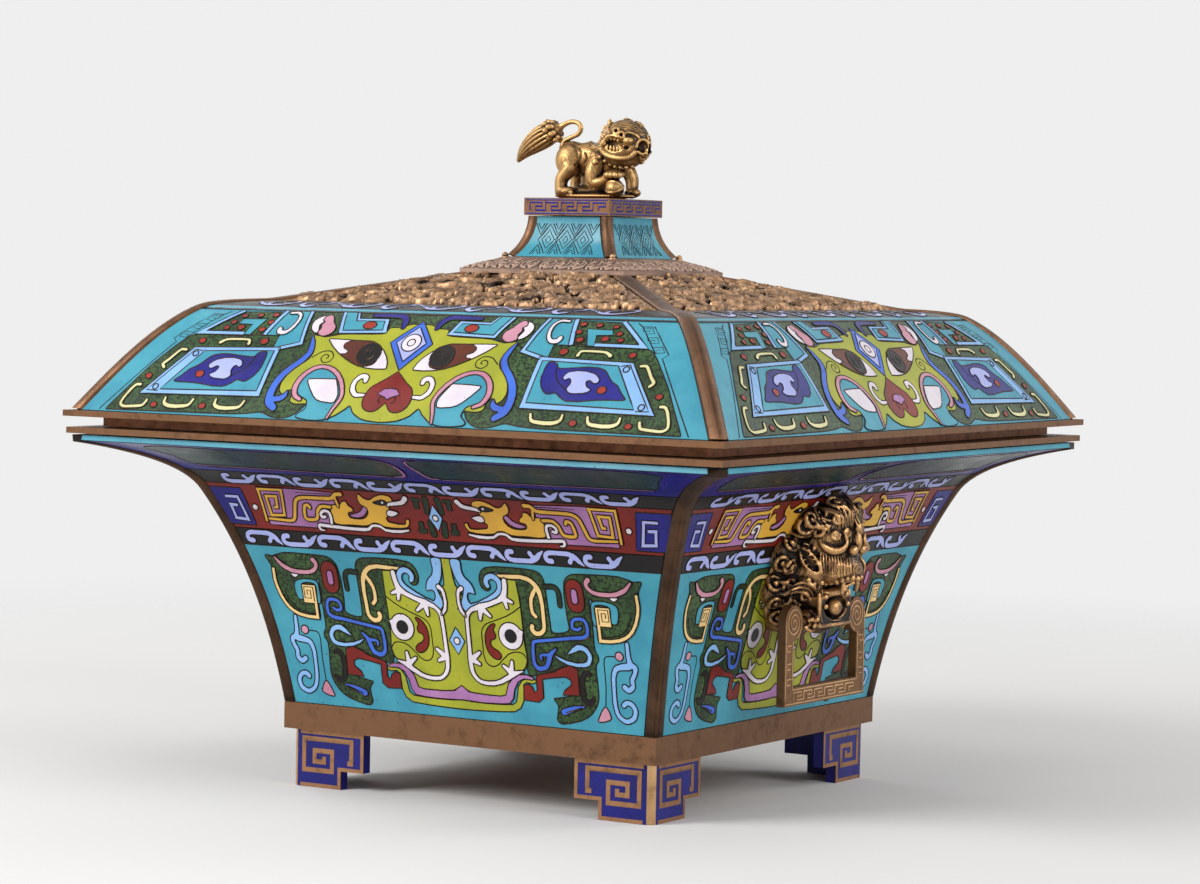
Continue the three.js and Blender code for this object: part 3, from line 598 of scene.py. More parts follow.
    # Cream hook in the bracket, and the framed square spiral in the wing
    cell("cream", stroke([(22.3, 59.5), (27.3, 59.3), (33.3, 59.6), (37.8, 58.3), (40.6, 55), (41.5, 50),
                          (41.3, 43.5), (40.9, 38.9), (39.1, 37.1), (36.7, 37), (35.4, 38.6), (35.7, 39.7)],
                         [1.2, 2, 2.1, 2.3, 2.5, 2.1, 2, 2, 2.2, 2.3, 2.3, 2.3]),
         stroke([(39.8, 56), (38.3, 53.5), (36.9, 51), (36.4, 47.5), (36.8, 44.9), (37.9, 43.8)],
                [1.2, 2.2, 2, 1.9, 2, 2]), layer=2)
    cell("cream", stroke([(84.4, 55.2), (84.4, 50), (82.4, 43.7), (79.4, 39.5), (75.4, 37.1), (70.4, 36.1),
                          (65.9, 36)], 1.7),
         bar([(65.9, 35.2), (65.9, 49)], 1.6), [(65.2, 41.8), (71.7, 41.8), (71.6, 49.6), (65.2, 49.6)],
         layer=3)
    line([(66.4, 42.6), (66.4, 48.6), (70.8, 48.6), (70.8, 43.9), (67.8, 43.9), (67.8, 47.2), (69.5, 47.2),
          (69.5, 45.3)], layer=3)
    line(curve([(80.6, 46), (78.6, 42), (75, 38.9), (70.4, 37.7), (67.2, 37.4)]), layer=1)
    cell("pink", stroke([(64, 60.4), (62.8, 59), (63.3, 57), (65.8, 55.3), (70.3, 54.8), (75.3, 55.2),
                         (79.8, 57.3), (82.6, 60.3)], [2.4, 2.2, 2, 2, 2.1, 2.2, 2, 1.2]), layer=3)
    cell("white", blob([(72.2, 53.7), (74.2, 54), (76.2, 53.8), (74.2, 52.2)]), layer=3)

    # Trunk at the side: red and mauve eye, blue square spiral, pale blue and black curls, blue bar
    cell("red", stroke([(57, 56.4), (57, 50.6)], 7.8), layer=3)
    cell("mauve", stroke([(56.8, 55), (56.8, 51.6)], 2.9), layer=4)
    cell("mid_blue", stroke([(45.3, 31.3), (42.6, 28.8), (41.6, 26.2), (40.1, 23.7), (36.9, 22.9), (35, 24.5),
                             (34.9, 31), (35.6, 33.4), (38.3, 34), (46.3, 35.2), (54.3, 36.4), (58.8, 37),
                             (60.4, 38.5), (60.4, 42.5), (59.2, 44), (55.8, 44), (54.3, 43), (54, 40.4),
                             (56.3, 39.8), (57.6, 40.6)],
                            [1, 2.2, 2.3, 2.2, 2.2, 2, 1.8, 1.8, 1.7, 1.7, 1.8, 1.9, 1.9, 1.8, 1.8, 1.7, 1.7,
                             1.7, 1.6, 1.5]),
         stroke([(42.4, 28.7), (39.7, 28.6), (38.1, 28.2), (38.2, 26.8)], [1.8, 1.5, 1.5, 1.4]), layer=3)
    cell("pale_blue", stroke([(50.6, 29.7), (53.3, 31.4), (55.8, 32.7), (58.8, 32), (60.4, 29.3),
                              (59.3, 26.6), (55.8, 25.6), (50.3, 26.1), (46.3, 27.6), (44.8, 28.7)],
                             [0.6, 2.2, 2.5, 2.3, 2.2, 2.1, 1.8, 1.7, 1.2, 0.6]), layer=3)
    cell("black", stroke([(59.6, 22.2), (57.8, 22.7), (56.1, 20.5), (55.6, 16), (56.2, 12.2), (58.3, 10.9),
                          (60.3, 12.2)], [1.5, 1.8, 2, 2, 2.2, 2.3, 1.6]), layer=2)
    cell("mid_blue", stroke([(46.6, 6.4), (50.3, 7.9), (55.6, 9.1)], [2.8, 2.4, 1.2]), layer=2)
    line([(47.4, 6.2), (55, 8.8)], layer=2)
    cell("red", [(28.9, 15.6), (28.7, 9.7), (35.3, 9.4), (37.6, 11.2), (37.8, 18.7), (42.3, 19.6),
                 (48.3, 20.4), (50.6, 19.4), (50.8, 17.4), (47.6, 15), (46.5, 13.2), (48.3, 13.2),
                 (54.1, 13.5), (54.2, 23.7), (50.8, 25.2), (45.8, 23.4), (43.6, 22.1), (36.6, 20.5),
                 (35, 19.6), (35, 13.9), (33.6, 13.2), (32.9, 15.2), (31.2, 16.2)], layer=2)

    # Tall pale-blue scroll by the corner, with the pink bud on its stem
    cell("pale_blue", stroke([(77.4, 35.6), (77.4, 30), (77.8, 27), (74.5, 26.4), (71.6, 25.4), (70.1, 22.5),
                              (69.8, 17), (69.8, 11), (71.1, 6.9), (74.3, 5), (77.6, 6.4), (78.6, 9.4),
                              (77.2, 11.8), (74.9, 12.3), (73.6, 11.2)],
                             [1.8, 2.2, 3, 2.7, 2.4, 2.1, 1.9, 1.9, 2, 2.1, 2.2, 2.2, 2.2, 2.2, 2.2]),
         stroke([(77.8, 27.5), (80, 26.3), (79.6, 24), (78.2, 21.5), (78.2, 18.8), (76.3, 17.3),
                 (74.6, 18.4)],
                [2.6, 2.5, 2.1, 2.1, 2.3, 2.4, 2.4]), layer=1)
    cell("pink", circle(73.4, 30.4, 1.8))
    cell("pink", blob([(65.4, 10), (67.5, 5.4), (61.8, 3.9)]))
    line(curve([(71.6, 30.2), (67.6, 29.9), (66.5, 28.6), (66.3, 19), (65.5, 10.3)]), layer=0)
    work.lay()


def cloud(work, middle, low, up):
    """A C-shaped cloud scroll, opening downwards or upwards, with a tail on its outer side."""
    sign, base = (1, low) if up else (-1, low + 6.3)

    def at(x, s):
        return middle + x, base + sign * s

    main = stroke([at(-5.0, 1.7), at(-7.0, 2), at(-7.4, 4), at(-5.8, 5.1), at(-1, 5.2), at(3.2, 5.1),
                   at(5.6, 4), at(7.4, 2.2), at(9.2, 0.7)], [2.6, 2.5, 2.4, 2.4, 2.4, 2.5, 2.7, 2.4, 1])
    hook = stroke([at(5.6, 3.8), at(4, 3.2), at(3.2, 1.9)], [2.2, 2.2, 2.5])
    work.cell("lavender", main, hook, layer=2, twice=False)


def body_bands():
    """The frieze of facing dragons between two black cloud bands, and the dark underside of the lip."""
    work = Enamel("bands", BODY_FACE, "root")
    low, red_low, red_high, high, lip = 65.2, 72.3, 92.4, 99.7, 130.9

    def band(colour, base, top):
        rows = [(BODY_FACE.half(s) - STRIP_WIDTH - GAP, s) for s in np.linspace(base, top, 6)]
        work.cell(colour, both([(0, base)] + rows + [(0, top)]), layer=1, twice=False)

    band("black", low, red_low)
    band("red", red_low, red_high)
    band("black", red_high, high)
    band("cobalt", high, lip)
    for base, first in ((low + 0.2, 1.5), (red_high + 0.3, -1.5)):
        for i in range(-5, 6):
            middle = first + 17.6 * i
            if abs(middle) + 10 < BODY_FACE.half(base) - STRIP_WIDTH:
                cloud(work, middle, base, (i % 2 == 1) == (base < red_low))
    dragon(work)
    frieze_centre(work)
    work.cell("teal", blob([(5, 105), (4.2, 113), (5.5, 121), (12, 125.5), (60, 126), (112, 126), (118, 122),
                            (112, 113), (106, 104.5), (60, 103.5), (12, 103)]), layer=2)
    work.cell("mauve", stroke([(11, 103), (5.6, 104), (4, 110), (4.4, 118), (7.5, 123.5), (13, 125.5)],
                              [0.8, 1.6, 1.8, 1.6, 1.2, 0.6]), layer=3)
    work.cell("mauve", stroke([(12, 102.8), (60, 103.2), (105, 104)], 0.9), layer=3)
    work.lay()


def dragon(work):
    """The dragon of the frieze's right half, its square spiral tail and the cobalt block by the corner."""
    cell, line = work.cell, work.line
    cell("mauve", [(46.6, 90.7), (66, 91.4), (83.2, 91.4), (80.9, 74.5), (56.2, 74.4), (50.2, 76.6),
                   (46.5, 84)],
         layer=2)
    cell("mauve", blob([(31.4, 84.8), (32.6, 82.4), (35, 80.6), (38.5, 80), (41.2, 80.9), (38, 81.9),
                        (35.2, 83.2), (33, 85.4)]), layer=2)
    cell("yellow", blob([(18.3, 88.3), (18.9, 90.3), (22, 91.3), (26, 90.4), (29.5, 88.5), (32, 89.1),
                         (34, 91), (35, 88.8), (34.3, 86.3), (31.7, 84.7), (31.6, 82.6), (33.5, 80.4),
                         (37, 79.6), (41, 80.3), (41.2, 82), (38.6, 82.9), (38.8, 84.3), (40.3, 85.4),
                         (41.2, 87.2), (43.1, 86.8), (44.6, 85.3), (48.5, 85), (49, 77.4), (40, 76.8),
                         (33, 77), (30.5, 78.2), (27.8, 78.2), (25.5, 77), (17, 76.8), (14.2, 77.5),
                         (12.8, 79.6), (13, 80.9), (14.3, 80.7), (14.9, 78.8), (20, 78.7), (23, 79.4),
                         (23.4, 80.9), (21.9, 82), (21.3, 84), (20.7, 85.8), (18.9, 86.7)]), layer=3)
    cell("yellow", stroke([(42.6, 90.3), (44.8, 90.2), (47.5, 88.2), (56, 87.9), (63, 87.5), (65.4, 86),
                           (67, 81.5), (68.7, 77.5), (75, 77.1), (80.6, 77.3)],
                          [2.3, 2.1, 2, 1.9, 1.9, 1.9, 1.9, 1.8, 1.6, 1.4]),
         stroke([(45.8, 88.8), (45.4, 86.6), (45.2, 84.6)], [1.4, 1.6, 1.2]), layer=4)
    cell("yellow", bar([(82.2, 76), (82.6, 90.5), (71.2, 90.6), (72.7, 79.2), (79.1, 78.9), (79.6, 87.4),
                        (74.6, 87.5), (75.3, 82.6), (77, 82.5)], 1.5), layer=4)
    cell("yellow", stroke([(49.3, 84.2), (53.5, 84.2), (55.6, 82.5), (57.2, 78.6), (62.4, 78.4), (62.6, 80.5),
                           (61.5, 84), (59.8, 84.5), (59.3, 83.4)], 1.8), layer=4)
    cell("white", stroke([(50.3, 77.2), (50, 80), (50.6, 82), (53, 82.3), (54.6, 80.8), (54.2, 79.5),
                          (52.8, 79.8)],
                         1.7), layer=5)
    cell("white", stroke([(14, 76.1), (18, 75.4), (25, 75.6), (27.5, 77.1), (31, 77.1), (33.2, 75.5),
                          (40, 75.2), (50, 75.6), (54, 75.8), (56.8, 75.8), (56.6, 74.1), (54.6, 73.7)],
                         [1.1, 1.7, 1.5, 1.5, 1.5, 1.7, 1.8, 1.8, 1.8, 1.8, 1.5, 0.9]), layer=4)
    cell("white", stroke([(12, 90.2), (13.5, 88.5), (16.5, 87.6), (20, 87.2), (21.5, 86.3)],
                         [2.6, 2.3, 2, 1.8, 0.8]), layer=4)
    cell("white", blob([(17, 83.4), (20.2, 81.6), (22.6, 82.2), (22.2, 84), (20.6, 84.6)]), layer=4)
    cell("black", blob([(21.2, 87.7), (23, 88.8), (25.5, 88.3), (27.9, 87.4), (25, 86.5), (22.6, 86.6)]),
         layer=4)
    cell("white", circle(23.3, 87.7, 0.5), layer=5, wire=False)
    cell("white", circle(86.5, 81.9, 1.4), layer=2)
    cell("cobalt", [(88, 73.9), (91.4, 90.3), (107, 90.3), (102, 73.9)], layer=2)
    cell("lavender", bar([(100.2, 86.2), (94, 86.2), (91.4, 76.2), (97.2, 76.6), (98.4, 82.6), (94.8, 82.4)],
                         1.6),
         layer=3)
    line([(64.5, 89.8), (47.5, 89.9)], layer=2)


def frieze_centre(work):
    """The lozenge between the dragons, with green brackets over and under it."""
    cell = work.cell
    cell("dark_green", stroke([(2.8, 90.2), (3.4, 84.6)], [3, 2.2]),
         stroke([(2.6, 75.2), (3.4, 80)], [3, 2.2]), layer=2)
    for s, way in ((89.8, -1), (76.2, 1)):
        cell("dark_green", bar([(5.4, s), (9.4, s)], 1.8), bar([(7.6, s), (7.6, s + 4 * way)], 2.2), layer=2)
    cell("pale_blue", [(0, 88), (3.2, 82.2), (0, 76.6), (-3.2, 82.2)], layer=3, twice=False)
    cell("white", circle(0, 82.2, 1.3), layer=4, twice=False)


# Ornament of the lid

def lid_field():
    """The mask of the lid, with framed clouds and frets at its sides and a cloud band over the bend."""
    work = Enamel("lid", LID_FACE, "lid")
    cell, line = work.cell, work.line

    # Speckled green grounds: low border and band by the frames, behind the ear, over the brow, round the fret
    cell("green", blob([(63, 38), (84, 38.2), (103.6, 37.5), (106.7, 36), (112.9, 28.5), (119.2, 20),
                        (125.4, 10), (130.2, 2.4), (130.8, 0.9), (128, 0.8), (89, 1), (68.2, 1.3), (59.8, 2),
                        (55.7, 2.6), (49.4, 0.6), (43.2, 0.7), (38.5, 3.6), (36.4, 7), (36.1, 9.3),
                        (39.5, 8.5), (42.1, 9.5), (44.6, 12.8), (48, 12.6), (51.5, 13), (51.5, 18),
                        (48.4, 23), (44.9, 28), (45.3, 34), (47.3, 37.8), (51.5, 34.8), (59.8, 32.4),
                        (63, 31.8), (63, 34)]))
    cell("green", [(39.8, 52.2), (35.9, 40.3), (41.1, 38.6), (46.4, 38.9), (48, 37.4), (51, 34.5),
                   (55.2, 52.2)])
    cell("green", both([(0, 52.2), (32, 52.2), (30.2, 48.5), (16.4, 48.8), (14, 43.6), (8, 43.6), (0, 47)]),
         twice=False)
    cell("green", [(67.8, 51.6), (86.4, 51), (102.2, 37.6), (79, 37.6), (71.2, 38.2)])

    # The mask's face
    cell("lime", both(curve([(0, 46.4), (4.7, 46.2), (8.8, 44.4), (13.4, 43.9), (14.4, 41.2), (20.3, 40.4),
                             (34.8, 39.8), (41.1, 38.2), (46.6, 38.9), (44.2, 35), (43, 29.5), (44.5, 26.3),
                             (48.4, 23.3), (50.8, 19), (51.7, 14.8), (50.8, 12.2), (49, 11), (47.3, 12.6),
                             (44.8, 13), (44.2, 8), (42, 6.9), (25, 7), (24.5, 1), (21.3, 2.3), (18.2, 4.7),
                             (15.7, 7), (13, 4), (7.8, 1.4), (0, 0.5)])), layer=2, twice=False)
    cell("turquoise", blob([(24.6, 0.9), (23.4, 6), (22, 10.5), (23.6, 15.2), (27.2, 19.8), (31, 22.3),
                            (35, 23), (38.7, 22.2), (41.8, 19), (43, 14.8), (41.6, 11.2), (38.8, 9.8),
                            (36.4, 8.4), (35.6, 5), (38.6, 2), (38, 0.9)]), layer=3)
    cell("white", blob([(26.7, 18.4), (28, 18.5), (38.2, 18.2), (39.5, 17.9), (39.2, 16.6), (37.5, 14.3),
                        (32.8, 9.5), (29.7, 8.3), (24, 8), (23.3, 8.6), (22.9, 11), (24.5, 15)]), layer=4)
    cell("pink", stroke([(23.9, 1.2), (22.9, 5), (21.1, 10.5), (22.7, 15.5), (26.5, 20.3), (30.7, 23),
                         (34.9, 23.9), (39, 23), (42.7, 19.5), (44.2, 14.5), (42.7, 10.5), (39.6, 8.8)],
                        [1.2, 1.6, 1.8, 2, 2, 1.9, 1.8, 2.1, 2.4, 2.6, 2.2, 1.6]), layer=4)
    cell("white", blob([(6.2, 24.2), (6.8, 27), (9.4, 31), (13.5, 34.4), (18.2, 36.3), (26.5, 37), (37, 37.3),
                        (38.6, 37.2), (38, 36.2), (33.8, 32.5), (27.6, 28.5), (21.3, 25.5), (16.1, 24.2),
                        (10.9, 23.8), (7, 23.9)]), layer=3)
    cell("brown", blob([(12, 30), (16.1, 36), (22.4, 36.8), (27.6, 36.7), (30.2, 35), (29.7, 33.2),
                        (27.1, 31.7), (27.6, 30.4), (30, 30), (26.5, 28.2), (22.4, 26), (17.2, 24.8),
                        (13, 26)]), layer=4)
    cell("black", circle(16.8, 30.6, 5.2), layer=5)
    line(spiral(16.8, 30.6, 0.8, 3.6, 2.5), layer=5, width=0.35)
    line(curve([(42.7, 28), (39, 31), (34.9, 31.3), (32.8, 29), (33.5, 26.7), (36.4, 26), (38.2, 28),
                (36.9, 29.7), (35.2, 29.3), (35.1, 28.2), (35.9, 28)]), layer=2)
    cell("white", stroke([(11.4, 12), (15.1, 12), (17.5, 14.5), (17.7, 18), (15.6, 20.3), (13.3, 19.8),
                          (13.1, 18.4)], [1.6, 2.1, 2.4, 2.3, 2.3, 2.6, 2.2]), layer=3)
    cell("red", both(curve([(0, 23.2), (4.7, 19), (9.4, 15.5), (10.9, 11), (9.9, 7), (6.8, 5), (3.6, 5.3),
                            (1.2, 7.4), (0, 9)])), layer=3, twice=False)
    cell("mauve", both([(0, 15.4), (3, 15), (5, 12.7), (3.2, 12), (1.4, 11.4), (0, 10.4)]), layer=4,
         twice=False)
    line(curve([(3, 12), (3.9, 10.2), (2.7, 8.8)]), layer=3)

    # Brow lozenge
    cell("mid_blue", [(0, 48), (9.7, 36.4), (0, 23.6), (-9.7, 36.4)], layer=3, twice=False)
    cell("lavender", [(0, 44.8), (6.8, 36.5), (0, 27.6), (-6.8, 36.5)], layer=4, twice=False)
    cell("white", circle(0, 36.6, 4.2), layer=5, twice=False)
    line(circle(0, 36.6, 1.7), layer=5, twice=False, closed=True)

    # Blue lock, ear and the cobalt hook over the brow
    cell("mid_blue", stroke([(46.8, 38), (45.3, 34.5), (44.6, 30.5), (46.6, 26.5), (50, 23), (53.1, 18.5),
                             (54.6, 13), (53.8, 7.5), (50.5, 4.6)], [1, 2.3, 2.8, 3, 3, 3.4, 3.6, 3.8, 3]),
         stroke([(52.8, 8.5), (49.4, 8.9), (47.6, 10.3), (47.2, 12.3)], [2.4, 2.8, 2.4, 0.8]), layer=3)
    cell("pink", blob([(44.2, 50.3), (46.3, 49.5), (46.8, 47), (45.4, 46.2), (46.1, 44.5), (45.3, 42.5),
                       (46, 40.5), (44.2, 38.9), (41.6, 38.7), (39, 40.5), (38.8, 43.5), (41.1, 46),
                       (42.7, 49)]), layer=3)
    cell("white", blob([(46.4, 49.6), (48.6, 49), (50.6, 46.5), (50.4, 43.5), (48.6, 40.9), (46.4, 40),
                        (45.7, 41), (46.2, 42.5), (46.9, 44.5), (45.9, 46.3), (46.9, 47.6)]), layer=3)
    cell("cobalt", stroke([(7.8, 44.4), (8.4, 48), (10.8, 50.6), (16, 51), (24.6, 50.8)],
                          [2, 2.8, 2.8, 2.6, 2]), layer=3)
    cell("pale_blue", [(16.4, 48.9), (30.2, 48.6), (32, 52.3), (40, 52.3), (35.9, 40.2), (14, 41.1)], layer=3)
    cell("turquoise", [(17.9, 47.4), (31, 47.1), (33.2, 52.2), (38.2, 52.2), (34.6, 41.8), (16.4, 42.6)],
         layer=4)
    cell("scarlet", circle(23.4, 44.8, 3, 2), layer=5)

    # Hook box and fret box
    cell("turquoise", [(55.4, 52.2), (51.4, 34.7), (59.8, 32.6), (63, 32.2), (63, 38.2), (71, 38.2),
                       (67.4, 52.2)],
         layer=2)
    cell("pale_blue", bar([(54.8, 52.2), (50.9, 34.6), (60.2, 31.8)], 1.7), layer=3)
    cell("pale_blue", bar([(66.6, 52.2), (70.4, 38.2)], 2), layer=3)
    cell("white", stroke([(64, 50.6), (60.6, 50.8), (58.8, 49.3), (58.1, 46), (59.3, 41.5), (61.4, 39.7),
                          (64, 40.1), (64.4, 41.4)], [1.5, 1.6, 1.6, 1.6, 1.8, 2.2, 2.5, 2.3]), layer=4)
    cell("turquoise", [(73.7, 46.8), (84.8, 46.6), (85.9, 43.8), (79.1, 43.5), (80.5, 38.2), (77.3, 38.2)],
         layer=2)
    cell("pale_blue", bar([(87.2, 51.4), (101.6, 38.5), (80.4, 38.7)], 1.8), layer=3)
    for x, s, size in ((70.8, 49.3, 1.5), (78, 48.9, 1.4), (85.4, 48.3, 1.4), (70.8, 45, 1.5), (73, 41, 1.6),
                       (83.6, 41.8, 1.7), (88.6, 44.6, 1.4), (90.4, 41.4, 1.4), (68.7, 35, 1.9),
                       (98.6, 34.4, 1.7), (84.6, 4, 1.7), (108.2, 3.7, 1.6), (116.6, 16.7, 1.6)):
        cell("scarlet", circle(x, s, size, 0.8 * size), layer=3)

    # Big frame with the cobalt cloud
    cell("pale_blue", [(59.4, 32.3), (100.4, 31), (117.6, 8.5), (59.4, 9.3)], layer=3)
    cell("turquoise", [(61.6, 30.5), (94.7, 29.3), (108.2, 10.7), (61.6, 11.8)], layer=4)
    cell("cobalt", blob([(64.8, 29.7), (68.3, 29.3), (69.6, 27.4), (76.5, 27.6), (84.8, 28.2), (90, 27),
                         (92.6, 24.4), (94.4, 22.5), (97.8, 20.5), (100.7, 17.2), (103, 14.8), (101, 14.3),
                         (95.2, 14.3), (89, 13.8), (82.7, 13), (78.1, 13.2), (74.9, 14.8), (73, 16.3),
                         (69.2, 15.8), (66.6, 17.5), (64.5, 21), (64, 25.5)]), layer=5)
    cell("lavender", blob([(73.5, 22.9), (74.4, 25.1), (78.1, 26.3), (82.7, 26.2), (86.9, 25), (89.4, 22.6),
                           (88.8, 21.2), (87.2, 21.1), (85.4, 22.2), (84.1, 21.8), (84.8, 19.8), (87.2, 18.2),
                           (85.9, 17), (82.7, 16.4), (78.6, 16.5), (76.8, 18.2), (77.6, 20.3), (77.2, 22.2),
                           (76, 22.8), (74.8, 22)]), layer=6)
    cell("scarlet", circle(91.9, 18.3, 2, 1.6), layer=6)
    line(curve([(69, 28), (69.8, 24.4), (72.6, 20.6), (76.6, 18)]), layer=5)
    line([(95.6, 29.2), (99.4, 30), (114.6, 10.2), (109, 10)], layer=3)
    for x, s in ((98.6, 27.9), (110.9, 11.8)):
        line(circle(x, s, 1.3), layer=4, closed=True)

    # Cream brackets and dots along the border
    foot = [(65.4, 7), (66.6, 4.5), (70.3, 3.6), (76.5, 3.7), (78.9, 5), (79.1, 7.2)]
    cream = [1.4, 1.7, 2, 2, 1.8, 1.4]
    for dx in (0, 24.6):
        cell("pale_yellow", stroke(moved(foot, dx, -0.2 if dx else 0), cream), layer=3)
    cell("pale_yellow", stroke([(75.5, 33.6), (76, 35.3), (81.7, 35.6), (86.9, 35.3), (89.4, 33.8)],
                               [1.9, 1.5, 1.4, 1.5, 1.9]), layer=3)
    cell("pale_yellow", stroke([(112.4, 5.5), (113.5, 3.2), (118.1, 2.5), (123, 2.4), (124.6, 3.6),
                                (123.3, 8.5), (120.7, 12.3), (118.7, 12.5)], 1.6), layer=3)
    cell("pale_yellow", stroke([(104.1, 29.6), (106.5, 29.6), (109.6, 25.5), (112.2, 22.3), (111, 20.9)],
                               [1.5, 1.6, 1.6, 1.8, 1.6]), layer=3)

    # Wire fret beside the ridge
    line([(93.6, 51), (96.4, 49), (101.4, 49.2), (113.4, 35.3), (111.4, 33.6), (134.3, 0.6)], layer=0)
    line([(96.4, 49), (107.6, 35.6)], layer=0)
    for x, s in ((98.9, 46.9), (103, 42.2), (107.2, 37.6)):
        line([(x - 0.9, s - 0.6), (x - 2.1, s + 1), (x + 2.1, s + 1.3), (x + 4.1, s - 1.3),
              (x + 0.6, s - 1.7), (x - 0.1, s - 0.2), (x + 1.8, s - 0.1)], layer=0, width=0.35)

    # Cloud band over the bend, up to the pierced panel
    low, high = 52.4, 74.0
    edge = [(LID_FACE.half(s) - STRIP_WIDTH - GAP, s) for s in np.linspace(low, high, 9)]
    cell("black", both([(0, low)] + edge + [(0, high)]), layer=1, twice=False)
    for i in range(-5, 6):
        if abs(19.5 * i) + 9 < LID_FACE.half(high) - STRIP_WIDTH:
            band_cloud(work, 19.5 * i, low + 1.2, i % 2 == 1)
    work.lay()


def spiral(x, s, inner, outer, turns):
    turn = np.linspace(0, turns * 2 * math.pi, round(turns * 14))
    radius = np.linspace(inner, outer, len(turn))
    return np.column_stack([x + radius * np.cos(turn), s + radius * np.sin(turn)])


def band_cloud(work, middle, low, up):
    """One of the large pale scrolls of the shoulder band: a ring with a long tail."""
    sign, base = (1, low) if up else (-1, low + 18.6)

    def at(x, s):
        return middle + sign * x, base + sign * s

    work.cell("lavender", stroke([at(-0.5, 4.6), at(-3.4, 3), at(-6, 4.6), at(-7.2, 8.4), at(-5.6, 12.4),
                                  at(-1, 14.6), at(4, 14.2), at(8, 11.2), at(11.5, 6.5)],
                                 [2.2, 2.4, 2.4, 2.3, 2.3, 2.3, 2.4, 2, 0.8]),
              stroke([at(3, 13.6), at(3.6, 9.6), at(1.4, 7.8)], [2, 2, 2.2]), layer=2, twice=False)


# Ornament of the neck, the plate, the feet and the bails

PLATE_HALF, FOOT_HALF = 20.3, 84.5
BAIL_OUTER, BAIL_INNER = 111.17, 107.77


def neck_field():
    """Nested lozenges in gilt wire, with chevrons between them."""
    work = Enamel("neck", NECK_FACE, "lid")
    pitch, low, high = 9.6, 1.6, 14.6
    squeeze, width = 0.86, 0.42
    middle, rise = (low + high) / 2, (high - low) / 2
    for i in range(-2, 3):
        for size in (1.0, 0.62, 0.26):
            x = i * pitch * squeeze
            ring = [(x, middle + rise * size), (x + pitch / 2 * size, middle), (x, middle - rise * size),
                    (x - pitch / 2 * size, middle)]
            if all(abs(px) < NECK_FACE.half(ps) - NECK_STRIP_WIDTH - GAP - 0.3 for px, ps in ring):
                work.line(ring, layer=0, twice=False, closed=True, width=width)
    for i in range(-2, 2):
        x = (i + 0.5) * pitch * squeeze
        for sign in (-1, 1):
            for step in (0.0, 2.2):
                foot = middle + sign * (rise + 0.3)
                tip = middle + sign * (2.2 + step)
                work.line([(x - 2.6 + 0.5 * step, foot), (x, tip), (x + 2.6 - 0.5 * step, foot)], layer=0,
                          twice=False, width=width)
    work.lay()


class Flat:
    """An upright flat face at a fixed half-width: x runs across it and s is the height."""

    def __init__(self, half, outward=1):
        self.half_width, self.outward = half, outward

    def points(self, x, s, raised):
        y = np.full(len(x), -self.half_width - self.outward * raised)
        return np.column_stack([self.outward * np.array(x), y, s])


def fret(first, last, count, low, high):
    """Points of a running key fret of so many keys between two heights."""
    pitch, rise = (last - first) / count, high - low
    key = [(0, 0), (0, 1), (0.78, 1), (0.78, 0.5), (0.36, 0.5), (0.36, 0)]
    points = [(first + (i + u) * pitch, low + v * rise) for i in range(math.ceil(count)) for u, v in key]
    return [p for p in points if p[0] <= last]


def plate_fret():
    """Cobalt fret between two lines on the edges of the top plate."""
    work = Enamel("plate", Flat(PLATE_HALF), "lid")
    for s in (230.9, 236.3):
        work.line([(-19.4, s), (19.4, s)], layer=0, twice=False, width=0.6, colour="cobalt")
    work.line(fret(-17.5, 20, 5, 232.1, 235.2), layer=0, twice=False, width=0.85, colour="cobalt")
    work.lay()


def foot_frets():
    """Gilt square spirals and edges on the cobalt feet, and the worn line down their rounded arris."""
    work = Enamel("feet", Flat(FOOT_HALF), "root")
    work.cell("fret", bar([(57.3, 10.8), (55.4, 10.8), (55.4, 19.4), (78.6, 19.4), (78.6, 6.9), (64.8, 6.9),
                           (64.8, 14.8), (73.4, 14.8), (73.4, 10.4), (68.8, 10.4), (68.8, 12.6)], 1.9),
              wire=False)
    work.cell("fret", bar([(80.3, 0.85), (61.25, 0.85), (61.25, 8.15), (50.25, 8.15), (50.25, 22),
                           (80.3, 22)],
                          1.5), wire=False)
    work.lay()
    arc = [math.radians(-45 + 26 * t) for t in np.linspace(-1, 1, 9)]
    middle, outer, inner = FOOT_HALF - 4, 4.16, 3.8
    section = [(middle + outer * math.cos(a), -middle + outer * math.sin(a)) for a in arc]
    section += [(middle + inner * math.cos(a), -middle + inner * math.sin(a)) for a in arc[::-1]]
    vertices = np.array([(x, y, z) for z in (0.1, 22.7) for x, y in section])
    n = len(section)
    faces = [[i, (i + 1) % n, (i + 1) % n + n, i + n] for i in range(n)]
    for a in range(len(arc) - 1):
        b, c, d = a + 1, n - 2 - a, n - 1 - a
        faces += [[a, b, c, d], [a + n, d + n, c + n, b + n]]
    vertices, faces = on_each_face(*outward(vertices, faces))
    piece("feet_arris", vertices, faces, ENAMELS["bright"], "root")


